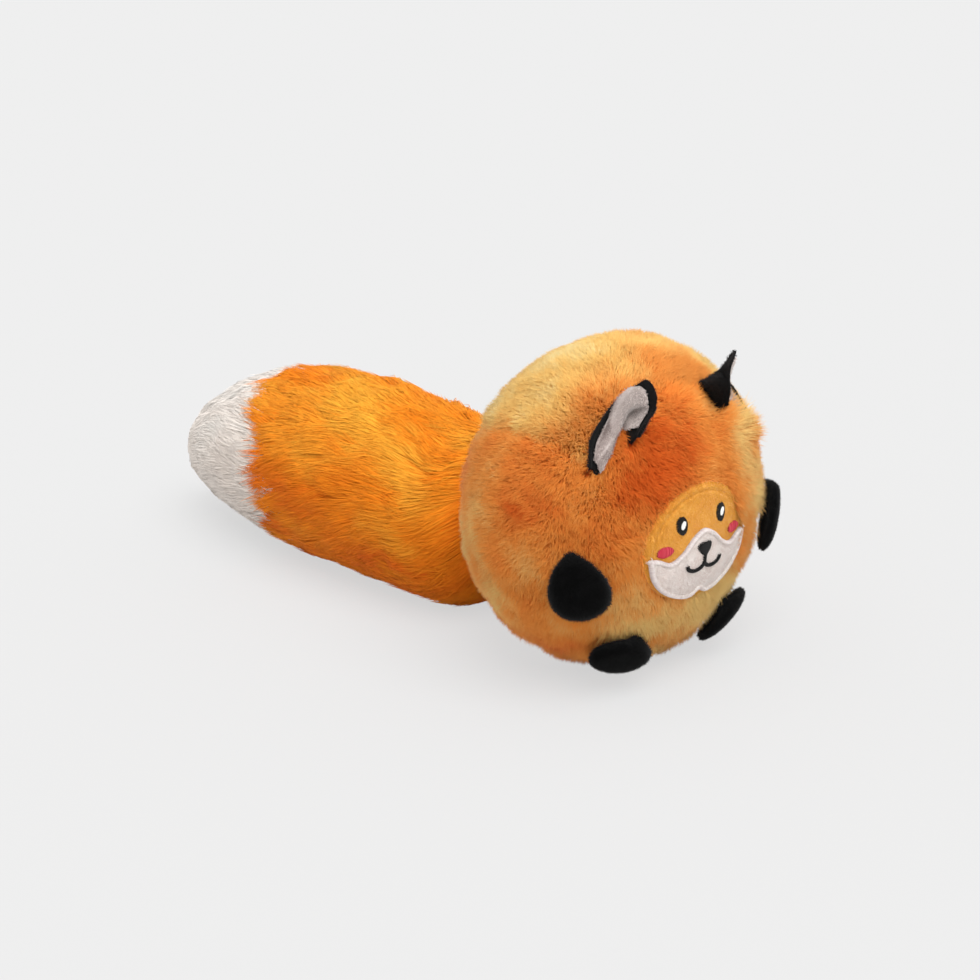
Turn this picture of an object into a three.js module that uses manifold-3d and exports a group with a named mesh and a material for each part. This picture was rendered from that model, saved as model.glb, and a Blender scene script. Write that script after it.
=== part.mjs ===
// Plush fox: a stuffed ball with a stitched face, folded ears, four paws and a long bushy tail.
// Millimetres. The fox faces -Y, +Z is up and +X is the fox's left.
// The origin is on the floor, under the middle of the ball.
import * as THREE from 'three';
import Module from 'manifold-3d';
import { mergeVertices } from 'three/addons/utils/BufferGeometryUtils.js';

const wasm = await Module();
wasm.setup();

const degrees = THREE.MathUtils.degToRad;

// Ball: plush panels sewn round a wad of fibre, measured to the tips of the pile.
const ballWidth = 140;
const ballDepth = 108;
const plushThickness = 8;
const floorFlatDepth = 0.5;
const frontSeamSetback = 33;
const backSeamSetback = 34;
const crownSeamAngle = degrees(50);
const bellySeamAngle = degrees(140);
const seamGap = 0.3;

// Face: a fleece patch let into the front panel, with a muzzle sewn on it and satin stitching.
const faceHalfWidth = 27.5;
const faceHalfHeight = 24.5;
const faceDrop = 7.7;
const faceRecess = 3;
const fleeceThickness = 2;
const muzzleThickness = 1.2;
const stitchThickness = 0.8;
const eyeOffset = 10.8;
const eyeRise = 2.6;
const eyeHalfWidth = 3;
const eyeHalfHeight = 3.7;
const highlightHalfWidth = 0.9;
const highlightHalfHeight = 1.6;
const cheekOffset = 19;
const cheekDrop = 6.6;
const cheekHalfWidth = 3.7;
const cheekHalfHeight = 3;
const noseDrop = 9.6;
const noseHalfWidth = 3.6;
const noseHalfHeight = 3.2;
const mouthDrop = 15.6;
const mouthHalfWidth = 9.4;
const mouthSag = 3;
const mouthStroke = 1.3;

// Ears: felt with a thinner lining, caught in the front seam and folded round a spine.
const earFeltThickness = 1.2;
const earLiningThickness = 0.9;
const earBorder = 3;
const earSunk = 5;
const earOuterAngle = degrees(54);
const earTipRise = 21;
const earBow = 3.5;
const earFoldBack = degrees(12);
const earFoldForward = degrees(20);

// Paws: small stuffed pads that hang from the front seam against the ball.
const pawWall = 1;
const armWidth = 22;
const armLength = 28;
const armThickness = 5.4;
const armAngle = degrees(105);
const armSetback = 34;
const armTaperShare = 0.25;
const footWidth = 26;
const footLength = 21;
const footThickness = 5.4;
const footAngle = degrees(151);
const footSetback = 30;
const footTaperShare = 0.05;

// Tail: a long-pile sleeve round a fibre core. It lies on the floor behind the ball as far as its
// widest place, and from there its tip tapers with its middle partly held up.
const tailPivotHeight = 56;
const tailPivotOut = 3;
const gatherRadius = 13;
const tailLength = 243;
const tailRadius = 45;
const tailCoreRadius = 14;
const tailWidestShare = 0.48;
const tipHeldShare = 0.55;
const tailTipSeam = 148;
const tipSocketRadius = 44.5;
const tipSeamRadiusShare = 0.968;
const lockLength = 45;
const lockDepth = 4.5;
const lockSpacing = 15;
const coreEndShare = 0.92;
const coreRadiusShare = 0.5;
const tailSwing = degrees(40);
const tailLift = degrees(50);

// Squeaker: a thin plastic cushion with its reed pressed into one face.
const squeakerRadius = 19;
const squeakerThickness = 20;
const squeakerRound = 6;
const squeakerWall = 1.2;
const reedRadius = 4;
const reedLength = 8;
const reedFlangeRadius = 6;
const reedFlangeThickness = 1.2;
const reedBore = 1.4;

// Counts of facets, not sizes.
const ballSegments = 28;
const ballRings = 16;
const tailSegments = 18;
const knobSegments = 24;
const tipBallSegments = 36;
const tipBallRings = 9;
const pawSegments = 12;
const earColumns = 20;
const earRows = 5;
const outlineSegments = 6;

// Places worked out from the sizes above. Cuts run out to reach, past everything.
const reach = 2 * ballWidth;
const halfGap = seamGap / 2;
const ballRadius = ballWidth / 2;
const ballHalfDepth = ballDepth / 2;
const ballHeight = ballRadius - floorFlatDepth;
const ballCentre = new THREE.Vector3(0, 0, ballHeight);
const ballSurfaceY = (rise) => ballHalfDepth * Math.sqrt(1 - (rise / ballRadius) ** 2);
const tailPivotY = ballSurfaceY(tailPivotHeight - ballHeight) + tailPivotOut;
const tailPivot = new THREE.Vector3(0, tailPivotY, tailPivotHeight);

const plush = cloth(0xc8702e, 0.95);
const crownPlush = cloth(0xe39a4a, 0.95);
const fleece = cloth(0xe09a35, 0.9);
const whiteFleece = cloth(0xe4d8cf, 0.9);
const blackPlush = cloth(0x0c0c0d, 0.95);
const earLining = cloth(0xd2c3c2, 0.9);
const blackThread = cloth(0x101010, 0.5);
const whiteThread = cloth(0xf2f2ee, 0.5);
const pinkThread = cloth(0xd0405f, 0.6);
const tailPlush = cloth(0xe8862a, 0.9);
const whitePlush = cloth(0xe6dcd3, 0.9);
const fibre = cloth(0xf4f4f2, 1);
const squeakerPlastic = cloth(0xe9e9e4, 0.4);

function cloth(color, roughness) {
  return new THREE.MeshStandardMaterial({ color, roughness, metalness: 0 });
}

// A closed three.js geometry becomes a solid that can be joined and cut.
function solid(geometry) {
  geometry.deleteAttribute('normal');
  geometry.deleteAttribute('uv');
  const merged = mergeVertices(geometry);
  return new wasm.Manifold(new wasm.Mesh({
    numProp: 3,
    vertProperties: new Float32Array(merged.attributes.position.array),
    triVerts: new Uint32Array(merged.index.array),
  }));
}

// A finished solid becomes a named mesh. A mirrored one lies on the fox's right.
function piece(name, body, material, mirrored = false) {
  const { vertProperties, triVerts } = body.getMesh();
  const geometry = new THREE.BufferGeometry();
  geometry.setAttribute('position', new THREE.BufferAttribute(vertProperties, 3));
  geometry.setIndex(new THREE.BufferAttribute(mirrored ? triVerts.slice().reverse() : triVerts, 1));
  if (mirrored) geometry.attributes.position.array.forEach((x, i, all) => { if (i % 3 === 0) all[i] = -x; });
  geometry.computeVertexNormals();
  const mesh = new THREE.Mesh(geometry, material);
  mesh.name = name;
  return mesh;
}

function pair(name, body, material) {
  return [piece(`${name}_left`, body, material), piece(`${name}_right`, body, material, true)];
}

// Joins rows of points, one above the other, into faces that look out when the rows run
// anticlockwise seen from the last row. A row of one point is a pole.
function skin(rows) {
  const points = rows.flat();
  const starts = rows.map((row, i) => rows.slice(0, i).reduce((sum, r) => sum + r.length, 0));
  const faces = [];
  rows.slice(1).forEach((upper, i) => {
    const lower = rows[i];
    const count = Math.max(lower.length, upper.length);
    const at = (row, start, k) => start + (row.length === 1 ? 0 : k % row.length);
    for (let k = 0; k < count; k += 1) {
      const a = at(lower, starts[i], k);
      const b = at(lower, starts[i], k + 1);
      const c = at(upper, starts[i + 1], k);
      const d = at(upper, starts[i + 1], k + 1);
      if (lower.length > 1) faces.push(a, b, d);
      if (upper.length > 1) faces.push(a, d, c);
    }
  });
  const geometry = new THREE.BufferGeometry().setFromPoints(points);
  geometry.setIndex(faces);
  return geometry;
}

// Ball form: round seen from the front and flatter from front to back.
// An inset below zero makes it larger, and turned swings it about a hinge.
function ballForm(inset, turned = (form) => form) {
  const form = new THREE.SphereGeometry(1, ballSegments, ballRings);
  form.scale(ballRadius - inset, ballHalfDepth - inset, ballRadius - inset);
  form.translate(ballCentre.x, ballCentre.y, ballCentre.z);
  return solid(turned(form));
}

const ballLayer = (inset, thickness) => ballForm(inset).subtract(ballForm(inset + thickness));

// A point on the ball, at an angle from straight up and a distance in front of its middle.
function onBall(angle, setback) {
  const radius = ballRadius * Math.sqrt(1 - (setback / ballHalfDepth) ** 2);
  return new THREE.Vector3(radius * Math.sin(angle), -setback, radius * Math.cos(angle)).add(ballCentre);
}

// A slab between two distances along Y, as wide and high as any cut needs.
function slab(front, back) {
  const form = new THREE.BoxGeometry(2 * reach, back - front, 2 * reach);
  form.translate(0, (front + back) / 2, 0);
  return solid(form);
}

function aboveFloor() {
  const form = new THREE.BoxGeometry(4 * reach, 4 * reach, reach);
  form.translate(0, 0, reach / 2);
  return solid(form);
}

// All that lies on one side of a plane through the ball's Y axis, half a gap away from it.
// At angle 0 the plane stands upright and the side kept is the fox's left.
function besidePlane(angle, side) {
  const form = new THREE.BoxGeometry(reach, 2 * reach, 2 * reach);
  form.translate(side * (reach / 2 + halfGap), 0, 0);
  form.rotateY(angle);
  form.translate(ballCentre.x, ballCentre.y, ballCentre.z);
  return solid(form);
}

const wedge = (from, to) => besidePlane(from, 1).intersect(besidePlane(to, -1));

// A ball for a turning seat. Its poles are up and down, so that a swing keeps its facets clear.
function knob(centre, radius, segments = knobSegments, rings = segments / 2) {
  const form = new THREE.SphereGeometry(radius, segments, rings);
  form.rotateX(Math.PI / 2);
  form.translate(centre.x, centre.y, centre.z);
  return solid(form);
}

// A prism that runs forward from the ball's middle. Its outline is drawn across X and up Z.
function facePrism(shape) {
  const options = { depth: reach, bevelEnabled: false, curveSegments: outlineSegments };
  const form = new THREE.ExtrudeGeometry(shape, options);
  form.rotateX(Math.PI / 2);
  form.translate(ballCentre.x, ballCentre.y, ballCentre.z);
  return solid(form);
}

function oval(x, rise, halfWidth, halfHeight) {
  const shape = new THREE.Shape();
  shape.absellipse(x, rise, halfWidth, halfHeight, 0, 2 * Math.PI);
  return shape;
}

const faceOutline = (grow) => oval(0, -faceDrop, faceHalfWidth + grow, faceHalfHeight + grow);

// Ball cover: one plush layer, cut along its seams into panels.
function ballCover() {
  const layer = ballLayer(0, plushThickness);
  const front = slab(-reach, -frontSeamSetback - halfGap);
  const middle = slab(-frontSeamSetback + halfGap, backSeamSetback - halfGap);
  const back = slab(backSeamSetback + halfGap, reach);
  const gusset = layer.intersect(middle).intersect(aboveFloor());
  const dome = layer.intersect(back).subtract(knob(tailPivot, gatherRadius + seamGap));
  const face = facePrism(faceOutline(0));
  const underside = wedge(bellySeamAngle, 2 * Math.PI - bellySeamAngle);
  return [
    piece('front_panel', layer.intersect(front).subtract(face), plush),
    piece('crown_gusset', gusset.intersect(wedge(-crownSeamAngle, crownSeamAngle)), crownPlush),
    piece('belly_gusset', gusset.intersect(underside), plush),
    ...pair('side_gusset', gusset.intersect(wedge(crownSeamAngle, bellySeamAngle)), plush),
    ...pair('back_panel', dome.intersect(besidePlane(0, 1)), plush),
  ];
}

// Filling: two wads of fibre, pressed up against the face patch and round the squeaker.
function ballFilling() {
  const behindFace = ballForm(faceRecess + fleeceThickness + seamGap);
  const faceBulge = behindFace.intersect(facePrism(faceOutline(-seamGap)));
  const wad = ballForm(plushThickness + seamGap).add(faceBulge).subtract(squeakerPocket());
  const seat = knob(tailPivot, gatherRadius + seamGap);
  return [
    piece('body_filling_front', wad.intersect(slab(-reach, -halfGap)), fibre),
    piece('body_filling_back', wad.intersect(slab(halfGap, reach)).subtract(seat), fibre),
  ];
}

// Half of the squeaker's cushion outline, from its front middle to its back, grown all round.
function squeakerProfile(grow) {
  const half = squeakerThickness / 2 + grow;
  const rim = squeakerRadius + grow;
  return [
    new THREE.Vector2(rim - squeakerRound, -half),
    new THREE.Vector2(rim, -half + squeakerRound),
    new THREE.Vector2(rim, half - squeakerRound),
    new THREE.Vector2(rim - squeakerRound, half),
  ];
}

function turnedOnY(points) {
  const form = new THREE.LatheGeometry(points, tailSegments);
  form.translate(ballCentre.x, ballCentre.y, ballCentre.z);
  return solid(form);
}

function squeakerPocket() {
  const half = squeakerThickness / 2;
  const flangeEnd = half + seamGap + reedFlangeThickness + seamGap;
  const cushion = [
    new THREE.Vector2(0, -half - seamGap),
    ...squeakerProfile(seamGap),
    new THREE.Vector2(0, half + seamGap),
  ];
  const flangeRoom = [
    new THREE.Vector2(0, 0),
    new THREE.Vector2(reedFlangeRadius + seamGap, 0),
    new THREE.Vector2(reedFlangeRadius + seamGap, flangeEnd),
    new THREE.Vector2(0, flangeEnd),
  ];
  return turnedOnY(cushion).add(turnedOnY(flangeRoom));
}

function squeaker() {
  const half = squeakerThickness / 2;
  const hole = reedRadius + seamGap;
  const bulb = [
    new THREE.Vector2(0, -half),
    ...squeakerProfile(0),
    new THREE.Vector2(hole, half),
    new THREE.Vector2(hole, half - squeakerWall),
    ...squeakerProfile(-squeakerWall).reverse(),
    new THREE.Vector2(0, -half + squeakerWall),
  ];
  const seat = half + seamGap;
  const reed = [
    new THREE.Vector2(reedBore, seat - reedLength),
    new THREE.Vector2(reedRadius, seat - reedLength),
    new THREE.Vector2(reedRadius, seat),
    new THREE.Vector2(reedFlangeRadius, seat),
    new THREE.Vector2(reedFlangeRadius, seat + reedFlangeThickness),
    new THREE.Vector2(reedBore, seat + reedFlangeThickness),
    new THREE.Vector2(reedBore, seat - reedLength),
  ];
  return [
    piece('squeaker_bulb', turnedOnY(bulb), squeakerPlastic),
    piece('squeaker_reed', turnedOnY(reed), squeakerPlastic),
  ];
}

// Muzzle outline in shares of the face's half width and half height, from the middle outward.
const muzzleUpperShares = [
  [0, 0.25], [0.2, 0.15], [0.4, -0.06], [0.6, -0.17], [0.8, -0.07], [0.955, -0.03],
];
const muzzleLowerShares = [
  [0, -0.83], [0.15, -0.92], [0.38, -0.88], [0.7, -0.66], [0.88, -0.38], [0.955, -0.03],
];

function muzzleOutline() {
  const place = ([x, rise]) => new THREE.Vector2(x * faceHalfWidth, rise * faceHalfHeight - faceDrop);
  const mirror = ([x, rise]) => [-x, rise];
  const edge = (shares) => {
    const left = shares.slice(1).reverse().map(mirror);
    return new THREE.SplineCurve([...left, ...shares].map(place)).getPoints(4 * shares.length);
  };
  const lower = edge(muzzleLowerShares);
  const upper = edge(muzzleUpperShares).reverse();
  return new THREE.Shape([...lower, ...upper.slice(1, -1)]);
}

function noseOutline() {
  const shape = new THREE.Shape();
  const top = -noseDrop + noseHalfHeight;
  const bottom = -noseDrop - noseHalfHeight;
  shape.moveTo(0, bottom);
  shape.bezierCurveTo(noseHalfWidth, -noseDrop, 2 * noseHalfWidth, top, 0, top);
  shape.bezierCurveTo(-2 * noseHalfWidth, top, -noseHalfWidth, -noseDrop, 0, bottom);
  return shape;
}

// The mouth is two hanging arcs that meet under the nose, and a stem up to it.
function mouthPrism() {
  const halfStroke = mouthStroke / 2;
  const arcHalfWidth = mouthHalfWidth / 2;
  const arc = (x) => {
    const shape = new THREE.Shape();
    const outer = [arcHalfWidth + halfStroke, mouthSag + halfStroke];
    const inner = [arcHalfWidth - halfStroke, mouthSag - halfStroke];
    shape.absellipse(x, -mouthDrop, ...outer, Math.PI, 2 * Math.PI, false);
    shape.absellipse(x, -mouthDrop, ...inner, 2 * Math.PI, Math.PI, true);
    return facePrism(shape);
  };
  const stemTop = -noseDrop - noseHalfHeight - seamGap;
  const stem = new THREE.Shape([
    new THREE.Vector2(-halfStroke, -mouthDrop - halfStroke),
    new THREE.Vector2(halfStroke, -mouthDrop - halfStroke),
    new THREE.Vector2(halfStroke, stemTop),
    new THREE.Vector2(-halfStroke, stemTop),
  ]);
  return arc(-arcHalfWidth).add(arc(arcHalfWidth)).add(facePrism(stem));
}

// Face: pieces follow the ball's curve in layers, each cut to its outline.
function face() {
  const muzzleInset = faceRecess - seamGap - muzzleThickness;
  const patch = ballLayer(faceRecess, fleeceThickness);
  const muzzle = ballLayer(muzzleInset, muzzleThickness);
  const stitchOnPatch = ballLayer(faceRecess - seamGap - stitchThickness, stitchThickness);
  const stitchOnMuzzle = ballLayer(muzzleInset - seamGap - stitchThickness, stitchThickness);
  const eye = facePrism(oval(eyeOffset, eyeRise, eyeHalfWidth, eyeHalfHeight));
  const highlight = (grow) => facePrism(
    oval(eyeOffset, eyeRise, highlightHalfWidth + grow, highlightHalfHeight + grow),
  );
  const cheek = facePrism(oval(cheekOffset, -cheekDrop, cheekHalfWidth, cheekHalfHeight));
  return [
    piece('face_patch', patch.intersect(facePrism(faceOutline(-seamGap))), fleece),
    piece('muzzle_patch', muzzle.intersect(facePrism(muzzleOutline())), whiteFleece),
    ...pair('eye', stitchOnPatch.intersect(eye.subtract(highlight(seamGap))), blackThread),
    ...pair('eye_highlight', stitchOnPatch.intersect(highlight(0)), whiteThread),
    ...pair('cheek', stitchOnPatch.intersect(cheek), pinkThread),
    piece('nose', stitchOnMuzzle.intersect(facePrism(noseOutline())), blackThread),
    piece('mouth', stitchOnMuzzle.intersect(mouthPrism()), blackThread),
  ];
}

// Left ear: its base runs inward along the front seam, turns round the spine and comes forward
// again as a short flap. Its free edge climbs to the tip and drops down the flap. Each row of
// shares follows the outer end's angle, the ball's half depth and, on the edge, the tip's rise.
const earBaseShares = [[1, 0.65], [0.8, 0.665], [0.62, 0.655], [0.445, 0.63], [0.59, 0.74]];
const earEdgeShares = [
  [1, 0.65, 0.05], [0.81, 0.59, 0.1], [0.63, 0.58, 0.2], [0.51, 0.585, 0.43], [0.39, 0.62, 1],
  [0.363, 0.675, 0.79], [0.4, 0.705, 0.62], [0.48, 0.72, 0.4], [0.565, 0.735, 0.14],
];
const earSpineRow = 3;

function earLine(shares) {
  return new THREE.CatmullRomCurve3(shares.map(([angle, setback, rise = 0]) => {
    const foot = onBall(angle * earOuterAngle, setback * ballHalfDepth);
    return foot.clone().addScaledVector(outwardFrom(foot.clone().sub(ballCentre)), rise * earTipRise);
  }));
}

const earBaseLine = earLine(earBaseShares);
const earEdgeLine = earLine(earEdgeShares);
const earOuterEnd = earBaseLine.points[0];
const earSpineEnd = earBaseLine.points[earSpineRow];
const earMiddle = earOuterEnd.clone().add(earSpineEnd).divideScalar(2);
const earHinge = earSpineEnd.clone().sub(earOuterEnd).normalize();
const earHeightAt = (along) => earEdgeLine.getPoint(along).distanceTo(earBaseLine.getPoint(along));
const earHeight = earHeightAt(1 / 2);

// A point of the ear's middle surface, which bows out toward the felt where the ear is tall.
function earPoint(along, up) {
  const base = earBaseLine.getPoint(along);
  const edge = earEdgeLine.getPoint(along);
  const share = Math.max(up, 0);
  const bow = earBow * 4 * share * (1 - share) * earHeightAt(along) / earHeight;
  const out = earBaseLine.getTangent(along).cross(edge.clone().sub(base)).normalize();
  return base.lerp(edge, up).addScaledVector(out, bow);
}

// A felt layer between two distances from the ear's middle surface, drawn in from its edges.
function earLayer(near, far, border) {
  const side = border / earBaseLine.getLength();
  const step = 0.01;
  const place = (i) => THREE.MathUtils.lerp(side, 1 - side, i / earColumns);
  const columns = Array.from({ length: earColumns + 1 }, (_, i) => place(i));
  const grid = (offset) => Array.from({ length: earRows + 1 }, (_, j) => columns.map((along) => {
    const height = earHeightAt(along);
    const up = THREE.MathUtils.lerp(-earSunk, height - border, j / earRows) / height;
    const across = earPoint(Math.min(along + step, 1), up).sub(earPoint(Math.max(along - step, 0), up));
    const rise = earPoint(along, up + step).sub(earPoint(along, up - step));
    return earPoint(along, up).addScaledVector(across.cross(rise).normalize(), offset);
  }));
  const outer = grid(far);
  const inner = grid(near);
  const rings = outer.map((row, j) => [...row, ...inner[j].slice().reverse()]);
  return solid(closedStack(rings));
}

// Closes a stack of rings of points at both ends with strips across each ring.
function closedStack(rings) {
  const geometry = skin(rings);
  const faces = [...geometry.index.array];
  const count = rings[0].length;
  const last = (rings.length - 1) * count;
  for (let k = 0; k < count / 2 - 1; k += 1) {
    const far = count - 1 - k;
    faces.push(k, far, far - 1, k, far - 1, k + 1);
    faces.push(last + k, last + far - 1, last + far, last + k, last + k + 1, last + far - 1);
  }
  geometry.setIndex(faces);
  return geometry;
}

// The ball as an ear or the tail meets it when it is turned about its joint.
function ballMet(pivot, turns) {
  return ballForm(-seamGap, (form) => {
    form.translate(-pivot.x, -pivot.y, -pivot.z);
    turns.forEach(([axis, angle]) => {
      form.applyQuaternion(new THREE.Quaternion().setFromAxisAngle(axis, -angle));
    });
    form.translate(pivot.x, pivot.y, pivot.z);
    return form;
  });
}

function ears() {
  const clear = (layer) => [-earFoldForward, 0, earFoldBack].reduce(
    (body, angle) => body.subtract(ballMet(earMiddle, [[earHinge, angle]])),
    layer,
  );
  return [
    ...pair('ear_back', clear(earLayer(halfGap, halfGap + earFeltThickness, 0)), blackPlush),
    ...pair('ear_lining', clear(earLayer(-seamGap - earLiningThickness, -seamGap, earBorder)), earLining),
  ];
}

// Paw form: rings of an egg outline, laid on the ball and lifted off it by a height.
// Its length runs round the seam on an arm and away from the face under a foot.
function pawSpace({ width, length, angle, setback, roundSeam, taperShare }) {
  const centre = onBall(angle, setback).sub(ballCentre);
  const round = new THREE.Vector3(Math.cos(angle), 0, -Math.sin(angle));
  const outward = outwardFrom(centre);
  const forward = round.clone().cross(outward).normalize();
  const down = roundSeam ? round : forward.clone().negate();
  const across = roundSeam ? forward : round;
  return (share, turn, height) => {
    const b = share * (length / 2) * Math.sin(turn);
    const a = share * (width / 2) * Math.cos(turn) * (1 + taperShare * Math.sin(turn));
    const flat = centre.clone().addScaledVector(across, a).addScaledVector(down, b);
    const scale = Math.hypot(flat.x / ballRadius, flat.y / ballHalfDepth, flat.z / ballRadius);
    const foot = flat.divideScalar(scale);
    return foot.clone().addScaledVector(outwardFrom(foot), height).add(ballCentre);
  };
}

// Straight out of the ball at a point given from its centre.
function outwardFrom(point) {
  return new THREE.Vector3(
    point.x / ballRadius ** 2,
    point.y / ballHalfDepth ** 2,
    point.z / ballRadius ** 2,
  ).normalize();
}

const pawRingShares = [0, 0.45, 0.8, 1];
const pawCrownPower = 2.4;

// Heights of a half cushion over its rings, from the crown to the rim.
function halfCushion(rimShare, crown, rim) {
  return pawRingShares.map((share) => {
    const fall = Math.sqrt(1 - share ** pawCrownPower);
    return [share * rimShare, rim + (crown - rim) * fall];
  });
}

function paw(name, size) {
  const at = pawSpace(size);
  const middle = seamGap + size.thickness / 2;
  const form = (profile) => {
    const rows = profile.map(([share, height]) => {
      const count = share === 0 ? 1 : pawSegments;
      const turn = (k) => -2 * Math.PI * k / pawSegments;
      return Array.from({ length: count }, (_, k) => at(share, turn(k), middle + height));
    });
    return solid(skin(rows));
  };
  const below = (profile) => profile.map(([share, height]) => [share, -height]).reverse();
  const crown = size.thickness / 2;
  const innerShare = 1 - 2 * pawWall / Math.min(size.width, size.length);
  const outer = halfCushion(1, crown, halfGap);
  const inner = halfCushion(innerShare, crown - pawWall, halfGap);
  const shell = [...outer, ...inner.slice().reverse()];
  const fillShare = innerShare - 2 * seamGap / Math.min(size.width, size.length);
  const fill = halfCushion(fillShare, crown - pawWall - seamGap, 0);
  return [
    ...pair(`${name}_cover`, form(shell), blackPlush),
    ...pair(`${name}_back`, form(below(shell)), blackPlush),
    ...pair(`${name}_filling`, form([...fill, ...below(fill).slice(1)]), fibre),
  ];
}

function paws() {
  const arm = {
    width: armWidth, length: armLength, thickness: armThickness,
    angle: armAngle, setback: armSetback, roundSeam: true, taperShare: armTaperShare,
  };
  const foot = {
    width: footWidth, length: footLength, thickness: footThickness,
    angle: footAngle, setback: footSetback, roundSeam: false, taperShare: footTaperShare,
  };
  return [...paw('arm', arm), ...paw('foot', foot)];
}

// Tail sections in shares: distance along the tail's length, radius, and how far the middle has
// come down from the pivot's height to lie on the floor.
const tailShares = [
  [0.01, 0.3, 0], [0.035, 0.52, 0.1], [0.065, 0.72, 0.4], [0.1, 0.87, 0.8], [0.14, 0.95, 1],
  [0.22, 0.985, 1], [tailWidestShare, 1, 1], [0.62, 0.965, 1], [0.7, 0.915, 1], [0.78, 0.81, 1],
  [0.85, 0.68, 1], [0.915, 0.56, 1], [0.965, 0.4, 1], [0.992, 0.22, 1], [1, 0.06, 1],
];

// Rows between the sections, a lock's spacing apart at most.
const tailRows = tailShares.flatMap((row, i) => {
  const next = tailShares[i + 1] ?? row;
  const steps = Math.max(1, Math.ceil((next[0] - row[0]) * tailLength / lockSpacing));
  const between = (j) => row.map((value, m) => THREE.MathUtils.lerp(value, next[m], j / steps));
  return Array.from({ length: steps }, (_, j) => between(j));
});

// How far the pile lies below its locks' tips: each lock lifts along the tail and ends in a
// step down to the next one. Neighbours are staggered, and the side on the floor stays flat.
function lockFall(k, along, share) {
  const place = along * tailLength / lockLength + (k % 2) / 2;
  const turn = -2 * Math.PI * k / tailSegments;
  const above = Math.min(1, 1 + Math.sin(turn));
  return lockDepth * share * above * (1 - place % 1);
}

// The middle's height where the tail's radius is a share of its full one.
function lyingHeight(along, share) {
  const held = along > tailWidestShare ? THREE.MathUtils.lerp(share, 1, tipHeldShare) : share;
  return tailRadius * held - floorFlatDepth;
}

function tailForm(radiusAt, endShare) {
  const rows = tailRows.filter(([along]) => along <= endShare).map(([along, share, down]) => {
    const height = THREE.MathUtils.lerp(tailPivotHeight, lyingHeight(along, share), down);
    return Array.from({ length: tailSegments }, (_, k) => {
      const radius = radiusAt(tailRadius * share, lockFall(k, along, share));
      const turn = -2 * Math.PI * k / tailSegments;
      return new THREE.Vector3(
        radius * Math.cos(turn),
        tailPivot.y + along * tailLength,
        height + radius * Math.sin(turn),
      );
    });
  });
  const middleOf = (row) => row.reduce((sum, p) => sum.add(p), new THREE.Vector3()).divideScalar(row.length);
  return solid(skin([[middleOf(rows[0])], ...rows, [middleOf(rows.at(-1))]]));
}

const tipSeamHeight = lyingHeight(tailTipSeam / tailLength, tipSeamRadiusShare);
const tipPivot = new THREE.Vector3(0, tailPivot.y + tailTipSeam, tipSeamHeight);

function tail() {
  const xAxis = new THREE.Vector3(1, 0, 0);
  const zAxis = new THREE.Vector3(0, 0, 1);
  const limits = [-tailSwing, 0, tailSwing].flatMap((swing) => [0, tailLift].map((lift) => [swing, lift]));
  const coreRadius = (radius) => Math.min(tailCoreRadius, radius * coreRadiusShare);
  const coreAt = (grow) => tailForm((radius) => coreRadius(radius) + grow, coreEndShare);
  const sleeve = tailForm((radius, fall) => radius - fall, 1).intersect(aboveFloor());
  const rootSeat = knob(tailPivot, gatherRadius + seamGap);
  const tipSeat = knob(tipPivot, tipSocketRadius + seamGap, tipBallSegments, tipBallRings);
  const tipBall = knob(tipPivot, tipSocketRadius, tipBallSegments, tipBallRings);
  const main = slab(-reach, tipPivot.y);
  const beyond = slab(tipPivot.y, 2 * reach).add(tipBall);
  const clearOfBall = (layer) => limits.reduce(
    (body, [swing, lift]) => body.subtract(ballMet(tailPivot, [[zAxis, swing], [xAxis, lift]])),
    layer,
  );
  const root = (layer) => clearOfBall(layer.intersect(main).subtract(tipSeat).subtract(rootSeat));
  return [
    piece('tail_root_gather', knob(tailPivot, gatherRadius), tailPlush),
    piece('tail_fur', root(sleeve.subtract(coreAt(seamGap))), tailPlush),
    piece('tail_filling', root(coreAt(0)), fibre),
    piece('tail_tip_fur', sleeve.intersect(beyond).subtract(coreAt(seamGap)), whitePlush),
    piece('tail_tip_filling', coreAt(0).intersect(beyond), fibre),
  ];
}

const fox = new THREE.Group();
fox.add(...ballCover(), ...face(), ...ears(), ...paws(), ...tail(), ...ballFilling(), ...squeaker());

export default fox;
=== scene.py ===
from math import atan, cos, pi, radians, sin, sqrt

import bmesh
import bpy
import numpy as np
from mathutils import Matrix, Vector
from mathutils.kdtree import KDTree


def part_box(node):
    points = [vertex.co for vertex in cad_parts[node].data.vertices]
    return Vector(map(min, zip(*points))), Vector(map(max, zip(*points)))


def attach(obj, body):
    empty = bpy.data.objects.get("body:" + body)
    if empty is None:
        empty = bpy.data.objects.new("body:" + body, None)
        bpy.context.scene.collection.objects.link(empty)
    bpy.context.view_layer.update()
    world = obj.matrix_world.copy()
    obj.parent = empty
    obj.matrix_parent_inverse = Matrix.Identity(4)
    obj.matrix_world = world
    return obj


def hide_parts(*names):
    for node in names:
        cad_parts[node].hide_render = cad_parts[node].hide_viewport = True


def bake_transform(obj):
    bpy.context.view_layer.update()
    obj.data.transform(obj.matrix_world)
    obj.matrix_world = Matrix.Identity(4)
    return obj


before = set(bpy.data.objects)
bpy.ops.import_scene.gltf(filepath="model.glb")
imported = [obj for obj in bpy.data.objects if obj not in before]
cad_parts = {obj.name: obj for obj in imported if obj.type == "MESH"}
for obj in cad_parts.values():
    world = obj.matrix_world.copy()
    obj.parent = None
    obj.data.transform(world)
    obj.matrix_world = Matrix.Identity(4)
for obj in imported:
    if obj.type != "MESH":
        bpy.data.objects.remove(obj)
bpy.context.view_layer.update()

# Camera: it looks down on the fox's right side and face from about a metre off, as the
# photograph does. The ball lies right of the picture's middle, so the camera is turned left.
ball_middle = Vector((0, 0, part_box("crown_gusset")[1].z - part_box("side_gusset_left")[1].x))
camera_side, camera_rise, camera_roll = radians(-42.9), radians(19.8), radians(-2.6)
camera_distance = 0.98
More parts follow.
